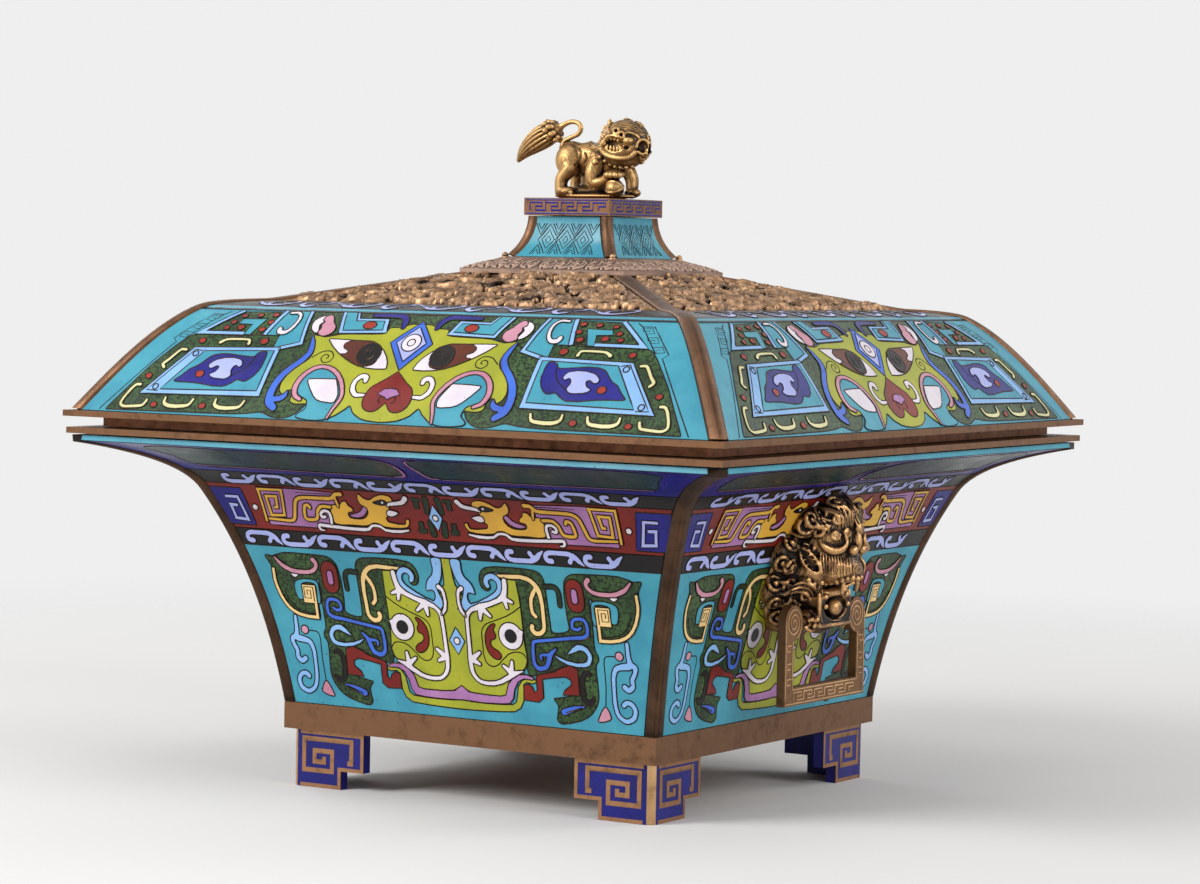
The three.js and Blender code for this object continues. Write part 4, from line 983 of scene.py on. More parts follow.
def bail_frets():
    """Raised lines, spirals and a key fret on both sides of each bail."""
    for side, q in (("right", 1), ("left", 3)):
        for kind, face in (("outer", Flat(BAIL_OUTER)), ("inner", Flat(BAIL_INNER, -1))):
            work = Enamel(f"bail_{side}_{kind}", face, f"bail_{side}")

            def line(points, width=0.5, twice=True):
                work.line(points, layer=1, twice=twice, width=width, colour="bright")

            line([(-31.7, 75), (-31.7, 42.8), (31.7, 42.8), (31.7, 75)], twice=False)
            line([(-26.4, 67.2), (-26.4, 48.2), (26.4, 48.2), (26.4, 67.2)], twice=False)
            line(spiral(25.5, 74, 0.7, 6.3, 2.7))
            line(fret(-25.4, 25.4, 6, 44, 47), 0.5, False)
            for s in (65.5, 58.5, 52.5):
                line([(27.4, s), (30.6, s), (30.6, s - 2.2), (28.2, s - 2.2)])
            work.lay((q,))


def neck_knobs():
    """A turned knob at the foot of each neck strip."""
    clay = Clay((22.5, -28.5, 211), (28.5, -22.5, 217), 0.22)
    clay.ball((25.6, -25.6, 213.9), (1.3, 1.3, 1.2), 0.1)
    clay.ball((25.3, -25.3, 212.9), (1.7, 1.7, 0.7), 0.3)
    # Patina and painted shade in the hollows
    vertices, quads, depth = clay.mesh()
    vertices, quads = on_each_face(vertices, quads)
    piece("neck_knobs", vertices, quads, CAST_GILT, "lid", smooth=70, hollow=np.tile(depth, 4))


# Gilt strips and walls

def swept(section, face, stations, place):
    """A closed section carried along a face. place turns a section point and a station into a point."""
    k, n = len(section), len(stations)
    vertices = [place(point, face.station(s)) for s in stations for point in section]
    faces = [[i * k + a, i * k + (a + 1) % k, (i + 1) * k + (a + 1) % k, (i + 1) * k + a]
             for i in range(n - 1) for a in range(k)]
    faces += [list(range(k))[::-1], list(range((n - 1) * k, n * k))]
    return np.array(vertices), faces


def outward(vertices, faces):
    """The same mesh with its faces turned to the outside."""
    work = bmesh.new()
    corners = [work.verts.new(v) for v in vertices]
    for face in faces:
        work.faces.new([corners[i] for i in face])
    bmesh.ops.recalc_face_normals(work, faces=work.faces[:])
    work.verts.index_update()
    turned_faces = [[v.index for v in f.verts] for f in work.faces]
    work.free()
    return vertices, turned_faces


def strip(face, width, crease):
    """Rounded strip over the front right arris, with a shallow crease down its middle."""
    def place(point, station):
        a, b, p = point
        h, z, nh, nz = station
        half = h + p * nh
        return half - a, b - half, z + p * nz

    arc = []
    for degrees in np.linspace(0, 90, 7):
        angle = math.radians(degrees)
        dent = crease * math.sin(2 * angle) ** 6
        arc.append((STRIP_RADIUS * (1 - math.sin(angle)) + dent, STRIP_RADIUS * (1 - math.cos(angle)) + dent,
                    STRIP_PROUD))
    bevel = STRIP_PROUD * 0.6
    section = [(width, 0, 0), (width - bevel * 0.3, 0, STRIP_PROUD * 0.7), (width - bevel, 0, STRIP_PROUD),
               *arc, (0, width - bevel, STRIP_PROUD), (0, width - bevel * 0.3, STRIP_PROUD * 0.7),
               (0, width, 0), (0, width, -WALL), (0, 0, -WALL), (width, 0, -WALL)]
    return outward(*swept(section, face, np.linspace(0, face.s[-1], 56), place))


def wall(face, inset):
    """Plain wall between two strips."""
    def place(point, station):
        side, p = point
        h, z, nh, nz = station
        half = h + p * nh
        return side * (half - inset), -half, z + p * nz

    section = [(-1, 0), (-0.33, 0), (0.33, 0), (1, 0), (1, -WALL), (-1, -WALL)]
    return outward(*swept(section, face, np.linspace(0, face.s[-1], 60), place))


def strips_and_walls():
    """The gilt strips over the arrises and the enamelled walls between them, in place of the faceted ones."""
    for q, corner in enumerate(CORNERS):
        for kind, face, width, body, crease in (("corner_strip", BODY_FACE, STRIP_WIDTH, "root", 0.25),
                                                ("ridge_strip", RIDGE_FACE, STRIP_WIDTH, "lid", 0.35),
                                                ("neck_strip", NECK_FACE, NECK_STRIP_WIDTH, "lid", 0.0)):
            vertices, faces = strip(face, width, crease)
            node = f"{kind}_{corner}"
            piece(f"gilt_{node}", turned(vertices, q), faces, GILT, body, [node])
    for q, name in enumerate(FACES):
        for kind, face, inset, body in (("body_panel", BODY_FACE, STRIP_WIDTH + GAP, "root"),
                                        ("lid_panel", LID_FACE, STRIP_WIDTH + GAP, "lid"),
                                        ("neck_panel", NECK_FACE, NECK_STRIP_WIDTH + GAP, "lid")):
            vertices, faces = wall(face, inset)
            node = f"{kind}_{name}"
            piece(f"wall_{node}", turned(vertices, q), faces, ENAMELS["turquoise"], body, [node])


# Chased and pierced panels

class Grid:
    """Values at the points of a regular grid, in two or three dimensions."""

    def __init__(self, low, high, pitch, value, kind=float):
        self.low, self.pitch = np.array(low, float), pitch
        self.count = np.ceil((np.array(high, float) - self.low) / pitch).astype(int) + 1
        self.field = np.full(self.count, value, kind)

    def near(self, low, high):
        """The part of the grid that a box takes up, with the coordinates of its points."""
        first = np.clip(np.floor((np.array(low) - self.low) / self.pitch).astype(int), 0, self.count)
        last = np.clip(np.ceil((np.array(high) - self.low) / self.pitch).astype(int) + 1, 0, self.count)
        axes = [(start + self.pitch * np.arange(a, b)).astype(self.field.dtype)
                for start, a, b in zip(self.low, first, last)]
        return tuple(slice(a, b) for a, b in zip(first, last)), np.meshgrid(*axes, indexing="ij")


class Relief(Grid):
    """Heights over a flat field: lumps and cords are laid on it, and the higher one shows."""

    def lump(self, x, s, length, width, turn, rise, ground):
        part, (px, ps) = self.near((x - length, s - length), (x + length, s + length))
        along = (px - x) * math.cos(turn) + (ps - s) * math.sin(turn)
        across = (ps - s) * math.cos(turn) - (px - x) * math.sin(turn)
        away = np.clip((along / length) ** 2 + (across / width) ** 2, 0, 1)
        dome = np.where(away < 1, ground + rise * np.sqrt(1 - away), -9)
        self.field[part] = np.maximum(self.field[part], dome)

    def reach(self, points, widths, margin=0.0):
        """For each place near a line: how far it lies from it, as a share of the line's half-width there."""
        line = curve(np.column_stack([points, np.broadcast_to(widths, len(points))]), step=1.2)
        room = line[:, 2].max() + margin
        part, (px, ps) = self.near(line[:, :2].min(axis=0) - room, line[:, :2].max(axis=0) + room)
        away = np.full(px.shape, 9.0)
        for (ax, as_, aw), (bx, bs, bw) in zip(line, line[1:]):
            run = max((bx - ax) ** 2 + (bs - as_) ** 2, 1e-9)
            t = np.clip(((px - ax) * (bx - ax) + (ps - as_) * (bs - as_)) / run, 0, 1)
            off = np.hypot(px - ax - t * (bx - ax), ps - as_ - t * (bs - as_))
            away = np.minimum(away, off / (aw + t * (bw - aw)))
        return part, away

    def cord(self, points, widths, rise, ground=0.0):
        part, away = self.reach(points, widths)
        dome = np.where(away < 1, ground + rise * np.sqrt(1 - np.clip(away, 0, 1) ** 2), -9)
        self.field[part] = np.maximum(self.field[part], dome)

    def groove(self, points, width, depth):
        part, away = self.reach(points, width, width)
        self.field[part] -= depth * np.exp(-away ** 2)

    def hollow(self, x, s, reach=1.0):
        """How far a place lies below its neighbourhood."""
        return self.at(x, s, blurred(self.field, round(reach / self.pitch)) - self.field)

    def at(self, x, s, h=None):
        """The height, or another value kept for each point, between the grid's points."""
        u, v = (np.asarray(x) - self.low[0]) / self.pitch, (np.asarray(s) - self.low[1]) / self.pitch
        i = np.clip(u.astype(int), 0, self.count[0] - 2)
        j = np.clip(v.astype(int), 0, self.count[1] - 2)
        du, dv, h = u - i, v - j, self.field if h is None else h
        return ((1 - du) * ((1 - dv) * h[i, j] + dv * h[i, j + 1])
                + du * ((1 - dv) * h[i + 1, j] + dv * h[i + 1, j + 1]))


def slab(face, half, columns, rows, height, under, pierced=None, mitred=False):
    """Mesh of a closed panel on the front face, with the places of its points and which of them it uses.

    Its outer side lies height above the face and its back lies under it. There is no metal where pierced is
    above zero.
    """
    s = np.linspace(0, face.s[-1], rows)
    x = half(s)[:, None] * np.linspace(-1, 1, columns)
    s = np.broadcast_to(s[:, None], x.shape)
    h, _, nh, _ = face.station(s.ravel())
    squeeze = 1 - under * nh / h if mitred else 1.0
    outer = face.points(x.ravel(), s.ravel(), height(x, s).ravel())
    back = face.points(x.ravel() * squeeze, s.ravel(), -under)
    number = np.arange(x.size).reshape(x.shape)
    corners = [number[:-1, :-1], number[:-1, 1:], number[1:, 1:], number[1:, :-1]]
    metal_there = np.ones(corners[0].shape, bool)
    if pierced is not None:
        open_at = pierced(x, s) > 0
        metal_there = ~(open_at[:-1, :-1] & open_at[1:, 1:] & open_at[1:, :-1] & open_at[:-1, 1:])
    framed = np.pad(metal_there, 1)
    beside = [framed[:-2, 1:-1], framed[1:-1, 2:], framed[2:, 1:-1], framed[1:-1, :-2]]
    count = x.size
    faces = [np.stack([c[metal_there] for c in corners], axis=1),
             np.stack([c[metal_there] + count for c in corners[::-1]], axis=1)]
    for i, other in enumerate(beside):
        edge = metal_there & ~other
        a, b = corners[i][edge], corners[(i + 1) % 4][edge]
        faces.append(np.stack([b, a, a + count, b + count], axis=1))
    faces = np.vstack(faces)
    used, faces = np.unique(faces, return_inverse=True)
    return np.vstack([outer, back])[used], faces.reshape(-1, 4).tolist(), (x, s, used)


def smoothly(value, low, high):
    t = np.clip((value - low) / (high - low), 0, 1)
    return t * t * (3 - 2 * t)


# Pierced panels: crescent openings, as the solids have them, among cast scrolls, leaves and beads
GRILLE_FACE = Face(np.linspace(GRILLE_LOW, GRILLE_HIGH, 30))
GRILLE_THICKNESS = 1.8
GRILLE_INSET = STRIP_WIDTH + GAP + 0.43
GRILLE_ROWS, HOLE_PITCH, HOLE_RADIUS, GRILLE_MARGIN = 4, 18.0, 5.2, 3.0


def grille_half(s):
    return GRILLE_FACE.half(s) - GRILLE_INSET


def crescents():
    """Centre and turn of each opening."""
    slope = GRILLE_FACE.s[-1]
    pitch = (slope - 2 * GRILLE_MARGIN) / GRILLE_ROWS
    for row in range(GRILLE_ROWS):
        s = GRILLE_MARGIN + (row + 0.5) * pitch
        count = 1 + int(2 * (grille_half(s) - GRILLE_MARGIN - HOLE_RADIUS) / HOLE_PITCH)
        for i in range(count):
            yield (i - (count - 1) / 2) * HOLE_PITCH, s, 0.4 if (row + i) % 2 else 3.6


def opening(x, s):
    """Above zero inside a crescent opening, and further above zero deeper in it."""
    depth = np.full(np.shape(x), -9.0)
    for cx, cs, turn in crescents():
        away = np.hypot(x - cx, (s - cs) / 0.8)
        angle = np.mod(np.arctan2((s - cs) / 0.8, x - cx) - turn, 2 * math.pi)
        hollow = HOLE_RADIUS * (0.35 + 0.25 * np.cos(angle))
        ends = np.minimum(angle, 1.25 * math.pi - angle) * away
        inside = np.minimum(np.minimum(HOLE_RADIUS - away, away - hollow), ends)
        depth = np.maximum(depth, np.where(away < 2 * HOLE_RADIUS, inside, -9))
    return depth


def scrollwork():
    """Relief of a pierced panel."""
    random = np.random.default_rng(11)
    slope = GRILLE_FACE.s[-1]
    field = Relief((-92, -1), (92, slope + 1), pitch=0.35, value=-1)
    leaf = [0.7, 1.7, 2.3, 1.9, 1.2, 0.5]
    for row in np.arange(1.5, slope, 5.8):
        for x in np.arange(-92, 92, 6.2):
            px, ps = x + random.uniform(-2.2, 2.2), row + random.uniform(-2, 2)
            if abs(px) > grille_half(ps) + 1:
                continue
            way = 0.9 * math.sin(px / 13 + 1.1) + 1.1 * math.sin(ps / 8 + px / 31) + random.uniform(-0.5, 0.5)
            bend = random.choice([-1, 1]) * random.uniform(0.45, 0.95)
            length = random.uniform(1.7, 2.5)
            points = [(px, ps)]
            for _ in range(5):
                end_x, end_s = points[-1]
                points.append((end_x + length * math.cos(way), end_s + length * math.sin(way)))
                way += bend
            field.cord(points, leaf, random.uniform(2.3, 3.8), -1.2)
            if random.random() < 0.8:
                field.groove(points[:5], 0.4, 0.9)
            if random.random() < 0.3:
                field.lump(*points[-1], 1.3, 1.3, 0, 1.8, 0.4)
    for cx, cs, turn in crescents():
        arc = np.linspace(turn - 0.5, turn + 1.35 * math.pi, 12)
        ring = [(cx + 6.1 * math.cos(a), cs + 5.0 * math.sin(a)) for a in arc]
        field.cord(ring, np.linspace(0.6, 1.3, 12), 1.7, -0.8)
        field.groove(ring[2:], 0.35, 0.5)
        inner = [(cx + r * math.cos(a), cs + 0.8 * r * math.sin(a)) for a, r in
                 zip(np.linspace(turn + 0.6, turn + 4.2, 8), np.linspace(2.2, 0.3, 8))]
        field.cord(inner, 0.85, 2.0, -0.6)
        for a in (turn + 0.9, turn + 2.4, turn + 3.7):
            x, s = cx + 6.6 * math.cos(a), cs + 5.4 * math.sin(a)
            tip = [(x, s), (x + 1.8 * math.cos(a + 0.3), s + 1.6 * math.sin(a + 0.3)),
                   (x + 3.1 * math.cos(a + 0.8), s + 2.7 * math.sin(a + 0.8))]
            field.cord(tip, [1.1, 1.0, 0.4], 2.0, -0.8)
    return field


def pierced_panels():
    field = scrollwork()
    random = np.random.default_rng(5)
    waves = [(random.uniform(0.6, 1.6), random.uniform(0.6, 1.6), random.uniform(0, 6)) for _ in range(6)]

    def edge(x, s):
        return np.minimum(grille_half(s) - np.abs(x), np.minimum(s, GRILLE_FACE.s[-1] - s))

    def height(x, s):
        rim = smoothly(edge(x, s), 0.2, 2.2)
        rounded = np.clip(-opening(x, s), -0.6, 1.2)
        return field.at(x, s) * rim + 0.6 * (rounded - 1.2) - 0.05

    def pierced(x, s):
        ragged = sum(0.16 * np.sin(a * x + b * s + c) for a, b, c in waves)
        return opening(x, s) + 0.1 - ragged

    vertices, faces, (x, s, used) = slab(GRILLE_FACE, grille_half, columns=384, rows=124, height=height,
                                         under=GRILLE_THICKNESS, pierced=pierced)
    # Painted shade with patina in the hollows of the relief, and painted shade down the sides of the openings
    # and on the back
    depth = 0.6 * field.hollow(x, s, 1.6) + 0.7 * smoothly(opening(x, s), -1.2, 0.2)
    depth = np.concatenate([depth.ravel(), np.full(x.size, 0.5)])[used]
    for q, name in enumerate(FACES):
        piece(f"pierced_{name}", turned(vertices, q), faces, CAST_GILT, "lid",
              [f"grille_{name}"], smooth=60, hollow=depth)


def skirt_leaves():
    """Chased leaf scrolls lying on the skirt under the neck."""
    length = SKIRT_FACE.s[-1]
    field = Relief((-40, -1), (40, length + 1), pitch=0.2, value=0)
    random = np.random.default_rng(4)
    for i in range(-5, 6):
        x, hand = 7.0 * i + random.uniform(-0.9, 0.9), 1 if i >= 0 else -1
        size = random.uniform(1.7, 2.5)
        turn = random.uniform(0, 3) + hand * np.linspace(0, 7.2, 12)
        field.cord([(x + r * size * math.cos(a), 4.4 + r * size * math.sin(a))
                    for a, r in zip(turn, np.linspace(1, 0.15, 12))], np.linspace(0.55, 0.85, 12), 0.75)
        for lean, rise in ((2.6, 8.6), (4.4, 7.0), (-1.8, 7.6)):
            field.cord([(x + 0.4 * lean * hand, 1.2), (x + 0.9 * lean * hand, 3.4),
                        (x + lean * hand + random.uniform(-0.5, 0.5), rise),
                        (x + 0.4 * lean * hand, rise + 1.6)],
                       [0.4, 0.95, 0.8, 0.3], 0.6)
        for k in range(-3, 4):
            top = x + 1.1 * k
            field.groove([(top + 0.5 * hand, 8.2 + 0.35 * abs(k)), (top, 10.5), (0.93 * top, 13.5)], 0.26,
                         0.3)

    def height(x, s):
        edge = np.minimum(SKIRT_FACE.half(s) - np.abs(x), np.minimum(s, length - s))
        return 0.1 + field.at(x, s) * smoothly(edge, 0.1, 1.2)

    vertices, faces, (x, s, used) = slab(SKIRT_FACE, SKIRT_FACE.half, columns=240, rows=48, height=height,
                                         under=0.5, mitred=True)
    # Painted shade with patina in the hollows of the leaves, and painted shade on the back
    depth = np.concatenate([3 * field.hollow(x, s).ravel(), np.full(x.size, 0.5)])[used]
    vertices, faces = on_each_face(vertices, faces)
    piece("skirt_leaves", vertices, faces, PALE_PATINA, "lid", smooth=60,
          hollow=np.tile(depth, 4))


# Castings

class Clay(Grid):
    """A casting modelled as a field on a grid of points, below zero inside it."""

    def __init__(self, low, high, pitch):
        super().__init__(low, high, pitch, 9, np.float32)

    def blend(self, part, away, soft, cut=False):
        """Adds or cuts a form given by its distances, with a soft seam."""
        here = self.field[part]
        if cut:
            t = np.clip(0.5 - 0.5 * (here + away) / soft, 0, 1)
            self.field[part] = here + (-away - here) * t + soft * t * (1 - t)
        else:
            t = np.clip(0.5 + 0.5 * (here - away) / soft, 0, 1)
            self.field[part] = here + (away - here) * t - soft * t * (1 - t)

    def ball(self, centre, radii, soft, cut=False):
        """An ellipsoid, or nothing where there is no centre."""
        if centre is None:
            return
        centre = np.array(centre, float)
        radii = np.broadcast_to(np.array(radii, float), 3)
        room = radii + 2 * soft + self.pitch
        part, grid = self.near(centre - room, centre + room)
        offset = [g - c for g, c in zip(grid, centre)]
        near = np.sqrt(sum((o / r) ** 2 for o, r in zip(offset, radii)))
        steep = np.sqrt(sum((o / r ** 2) ** 2 for o, r in zip(offset, radii)))
        self.blend(part, near * (near - 1) / (steep + 1e-6), soft, cut)

    def block(self, centre, halves, rounding, soft):
        """A box with rounded edges."""
        centre, halves = np.array(centre, float), np.array(halves, float)
        room = halves + rounding + 2 * soft + self.pitch
        part, grid = self.near(centre - room, centre + room)
        over = [np.abs(g - c) - h for g, c, h in zip(grid, centre, halves)]
        outside = np.sqrt(sum(np.maximum(o, 0) ** 2 for o in over))
        within = np.minimum(np.maximum(np.maximum(over[0], over[1]), over[2]), 0)
        self.blend(part, outside + within - rounding, soft)

    def cord(self, points, radii, soft, cut=False, step=1.0):
        """A round cord along a smooth line through the points, without those that are None."""
        kept = [(*p, r) for p, r in zip(points, np.broadcast_to(radii, len(points))) if p is not None]
        if len(kept) < 2:
            return
        line = curve(np.array(kept), step=step)
        room = line[:, 3].max() + 2 * soft + self.pitch
        part, (px, py, pz) = self.near(line[:, :3].min(axis=0) - room, line[:, :3].max(axis=0) + room)
        away = np.full(px.shape, 9.0, np.float32)
        for a, b in zip(line, line[1:]):
            way = b[:3] - a[:3]
            run = max(way @ way, 1e-9)
            t = np.clip(((px - a[0]) * way[0] + (py - a[1]) * way[1] + (pz - a[2]) * way[2]) / run, 0, 1)
            off = np.sqrt((px - a[0] - t * way[0]) ** 2 + (py - a[1] - t * way[1]) ** 2
                          + (pz - a[2] - t * way[2]) ** 2)
            away = np.minimum(away, off - (a[3] + t * (b[3] - a[3])))
        self.blend(part, away, soft, cut)

    def skin(self, start, way):
        """The first point of the surface met from start along a direction, or None past the edge."""
        way = np.array(way, float) / np.linalg.norm(way)
        places = np.array(start, float) + way * self.pitch / 2 * np.arange(600)[:, None]
        i = np.round((places - self.low) / self.pitch).astype(int)
        known = np.all((i >= 0) & (i < self.count), axis=1)
        depth = np.full(len(places), 99.0)
        depth[known] = self.field[tuple(i[known].T)]
        if depth.min() > 0.7:
            return None
        return places[np.argmax(depth < 0) if depth.min() < 0 else np.argmin(depth)]

    def curl(self, centre, across, up, radius, thick, turns, hand):
        """A spiral lock lying on the surface; across and up span its plane."""
        across, up = np.array(across, float), np.array(up, float)
        out = np.cross(across, up)
        points, radii = [], []
        for t in np.linspace(0, 1, round((4 + 5 * radius / thick) * turns)):
            angle, away = hand * t * turns * 2 * math.pi, radius * (1 - t) ** 0.8
            flat = centre + away * (math.cos(angle) * across + math.sin(angle) * up)
            spot = self.skin(flat + 6 * out, -out)
            if spot is not None:
                points.append(spot + out * (0.2 + 0.5 * t * thick))
                radii.append(thick * (1 - 0.25 * t))
        for point, size in zip(points, radii):
            self.ball(point, size, soft=0.12)

    def mesh(self):
        """Its surface as points and quads, with one point in each cell that the surface passes.

        Third comes how hollow the surface is at each point: above zero in a cavity, below it on a ridge.
        """
        f = self.field
        below = f < 0
        mixed = np.zeros(self.count - 1, int)
        offsets = [(i, j, k) for i in (0, 1) for j in (0, 1) for k in (0, 1)]
        for i, j, k in offsets:
            mixed += below[i:f.shape[0] - 1 + i, j:f.shape[1] - 1 + j, k:f.shape[2] - 1 + k]
        cells = np.argwhere((mixed > 0) & (mixed < 8))
        number = np.full(self.count - 1, -1)
        number[tuple(cells.T)] = np.arange(len(cells))
        value = {o: f[tuple((cells + o).T)] for o in offsets}
        total, crossed = np.zeros((len(cells), 3)), np.zeros(len(cells))
        for o in offsets:
            for axis in range(3):
                if o[axis]:
                    continue
                p = tuple(o[i] + (i == axis) for i in range(3))
                a, b = value[o], value[p]
                hit = (a < 0) != (b < 0)
                place = np.tile(np.array(o, float), (len(cells), 1))
                place[:, axis] += np.where(hit, a / np.where(hit, a - b, 1), 0)
                total += place * hit[:, None]
                crossed += hit
        points = self.low + self.pitch * (cells + total / crossed[:, None])
        quads = []
        for axis in range(3):
            u, v = np.eye(3, dtype=int)[(axis + 1) % 3], np.eye(3, dtype=int)[(axis + 2) % 3]
            low = tuple(slice(0, -1) if i == axis else slice(1, -1) for i in range(3))
            high = tuple(slice(1, None) if i == axis else slice(1, -1) for i in range(3))
            edges = np.argwhere(below[low] != below[high]) + u + v
            ring = [number[tuple((edges - d).T)] for d in (0 * u, u, u + v, v)]
            leaving = below[tuple(edges.T)]
            quads.append(np.stack(ring, axis=1)[leaving])
            quads.append(np.stack(ring[::-1], axis=1)[~leaving])
        return points, np.vstack(quads).tolist(), 4 * blurred(below.astype(np.float32), 3)[tuple(cells.T)] - 2


def blurred(values, reach):
    """The values with each one replaced by the mean of its neighbourhood."""
    for axis in range(values.ndim):
        margins = [(reach + 1, reach) if i == axis else (0, 0) for i in range(values.ndim)]
        wide = np.cumsum(np.pad(values, margins, mode="edge"), axis=axis)
        size, span = values.shape[axis], 2 * reach + 1
        values = (np.take(wide, range(span, span + size), axis) - np.take(wide, range(size), axis)) / span
    return values


# A level view from the front right, as in the photo: the way across it, and the way back to the eye
VIEW_ACROSS, VIEW_BACK = np.array((0.848, 0.530, 0)), np.array((0.530, -0.848, 0))


def seen(clay, across, up, lift=0.0):
    """The point of a casting's surface that shows at a place across and up in that view."""
    start = across * VIEW_ACROSS + np.array((0, 0, up)) + 100 * VIEW_BACK
    spot = clay.skin(start, -VIEW_BACK)
    return None if spot is None else spot + lift * VIEW_BACK


def mirrored(points, side):
    return [None if p is None else np.array(p) * (1, side, 1) for p in points]


def lock(clay, middle, radius, thick, out, turns, hand=1):
    """A spiral curl round a place, lying on the surface that faces out there."""
    if middle is None:
        return
    out = np.array(out, float) / np.linalg.norm(out)
    across = np.cross((0, 0, 1), out)
    across /= np.linalg.norm(across)
    clay.curl(np.array(middle), across, np.cross(out, across), radius, thick, turns, hand)


def mask_casting():
    """The lion mask with its jaw and pearl, bored for the bail, and the stud through the wall."""
    clay = Clay((84, -35.5, 64), (131, 35.5, 125.5), 0.42)
    pivot, middle = np.array((109.47, 0, 74)), 95
    for centre, radii, soft in (((-10, 0, 23), (13, 29, 26), 1), ((-13, 0, 6), (8, 24, 11.5), 2),
                                ((5, 0, 40), (9, 12, 7.5), 3), ((1, 0, 31), (13, 15.5, 14.5), 3),
                                ((6, 0, 20), (10, 11.5, 7), 3), ((-2, 0, 6), (9, 12, 12), 2)):
        clay.ball(pivot + centre, radii, soft)
    for side in (-1, 1):
        clay.ball(pivot + (2, side * 14, 20), (6, 5.5, 6.5), 3)
        clay.ball(pivot + (4, side * 10, 33), (6.5, 5, 6), 3)
        clay.ball(pivot + (0, side * 12.6, 0.5), (4, 2.8, 4.5), 1)
        for k in range(5):
            angle = math.radians(-58 + 36 * k)
            y, z = 26 * math.cos(angle), middle + 23 * math.sin(angle)
            clay.ball((np.interp(z, BODY_FACE.z, BODY_FACE.h) + 1.5, side * y, z), (5.4, 6.6, 6.6), 1.2)

    # Curls on the thick edge of the mane
    for side in (-1, 1):
        for k in range(9):
            angle = math.radians(-66 + 18 * k)
            y, z = 29.5 * math.cos(angle), middle + 26 * math.sin(angle)
            spot = (np.interp(z, BODY_FACE.z, BODY_FACE.h) + 5, side * y, z)
            out = (0.7, side * 0.65 * math.cos(angle), 0.5 * math.sin(angle))
            lock(clay, spot, 3.5, 1.0, out, 1.5, side)

    # Two rings of curls round the face, the crown left free, and hair between them
    for i in range(15):
        angle = math.radians(-62 + 304 * i / 14)
        sideways = abs(math.cos(angle))
        for ring, size in ((26.2, 3.6), (19.5, 3.0)):
            outer = ring > 20
            if sideways < 0.4 or not outer and sideways >= 0.996:
                continue
            y, z = ring * math.cos(angle), middle + 0.93 * ring * math.sin(angle)
            out = (0.8, 0.5 * math.cos(angle), 0.35 * math.sin(angle))
            lock(clay, (118 - ring / 3, y, z), size, 1.0, out, 1.5, 1 if (i + outer) % 2 else -1)
    for i in range(28):
        angle = math.radians(-66 + 312 * i / 27)
        hair = []
        for r, wave in ((23, 0), (26, 0.09), (28.5 + 1.2 * math.sin(5 * i), 0.05)):
            y, z = r * math.cos(angle + wave), middle + 0.9 * r * math.sin(angle + wave)
            hair.append(clay.skin((128, y, z), (-1, 0, 0)))
        clay.cord(hair, [0.5, 1.1, 0.5], 0.4)

    # Curls over the brow, lobes beside the nose with a hollow under each, and the beads of the lip
    for across, up, radius in ((90.9, 111.7, 2.3), (96.9, 114.1, 2), (96.1, 107.9, 2), (100.9, 108.9, 1.8)):
        spot = seen(clay, across, up)
        for side in (-1, 1):
            lock(clay, spot * (1, -side, 1), radius, 0.75, (0.8, side * 0.45, 0.25), 1.6, side)
    for side in (-1, 1):
        clay.ball((124.4, side * 3.6, 101.8), 2, 0.6)
    for side in (-1, 1):
        clay.ball((126.6, side * 3.5, 99.2), 0.8, 0.3, cut=True)
    for across, up, radius in ((90.9, 89.2, 1.1), (92.9, 88.3, 1), (94.9, 88.5, 1), (96.9, 89.2, 1),
                               (98.9, 90, 1), (100.9, 90.6, 1), (103.1, 90.9, 1.1), (105.2, 90.5, 1)):
        spot = seen(clay, across, up)
        for side in (-1, 1):
            clay.ball(spot * (1, -side, 1) + (0.6, 0, 0), radius, 0.4)
    clay.ball((123.4, 0, 105.2), (2.8, 2.0, 4.2), 0.8)
    clay.ball((124.2, 0, 110.4), (1.8, 1.5, 1.9), 0.5)

    for side in (-1, 1):
        # Brow crescent, cheek and muzzle flutes, drawn on the side in view and mirrored
        brow = [(89.8, 105.9), (91.4, 103.8), (95.9, 101.8), (99.5, 102.8), (100.9, 105.6), (100.2, 107.6)]
        crescent = mirrored([seen(clay, *p, 0.5) for p in brow], -side)
        clay.cord(crescent, [0.4, 1.2, 1.7, 1.4, 0.9, 0.5], 0.3)
        for t in np.linspace(0, 1, 11):
            flute = [(90.6 + 11.4 * t, 101.1 - 2.6 * t), (90.5 + 11.9 * t, 96.6 - 0.8 * t),
                     (91.2 + 11.4 * t, 91.5 + 1.8 * (2 * t - 1) ** 2)]
            clay.cord(mirrored([seen(clay, *p, 0.1) for p in flute], -side), [0.35, 0.66, 0.45], 0.25)
        # Ear: a pointed ribbed leaf, hollow inside
        ear = np.array([(113.5, -11.5, 92.3), (113, -14, 94.5), (111.6, -16.8, 98), (109.5, -18.6, 101.6),
                        (108, -19.6, 103.6)])
        away = np.array((0.6, -0.8, 0.1))
        clay.cord(mirrored(ear + 1.2 * away, -side), [1.2, 2.8, 3.4, 2.2, 0.5], 0.5)
        clay.cord(mirrored(ear[1:4] + 3.6 * away, -side), [1.4, 2.2, 0.9], 0.4, cut=True)
        for i in range(5):
            spot = ear[1] + (ear[3] - ear[1]) * i / 4 + 3.9 * away
            for rib in (-1, 1):
                root, tip = rib * np.array((0.8, 0.6, 0.0)) * 1.1, rib * np.array((2.4, 1.7, 0.3))
                clay.cord(mirrored([spot + root, spot + tip - away], -side), [0.25, 0.45], 0.15)
        # Side locks below the ear
        for k in range(3):
            wisp = [seen(clay, u - 0.9 * k, z - 1.9 * k, 0.3) for u, z in
                    ((80.6, 88.5), (84.3, 89.6), (87.5, 88.5), (89.3, 85.2))]
            clay.cord(mirrored(wisp, -side), [0.4, 0.9, 0.9, 0.4], 0.3)

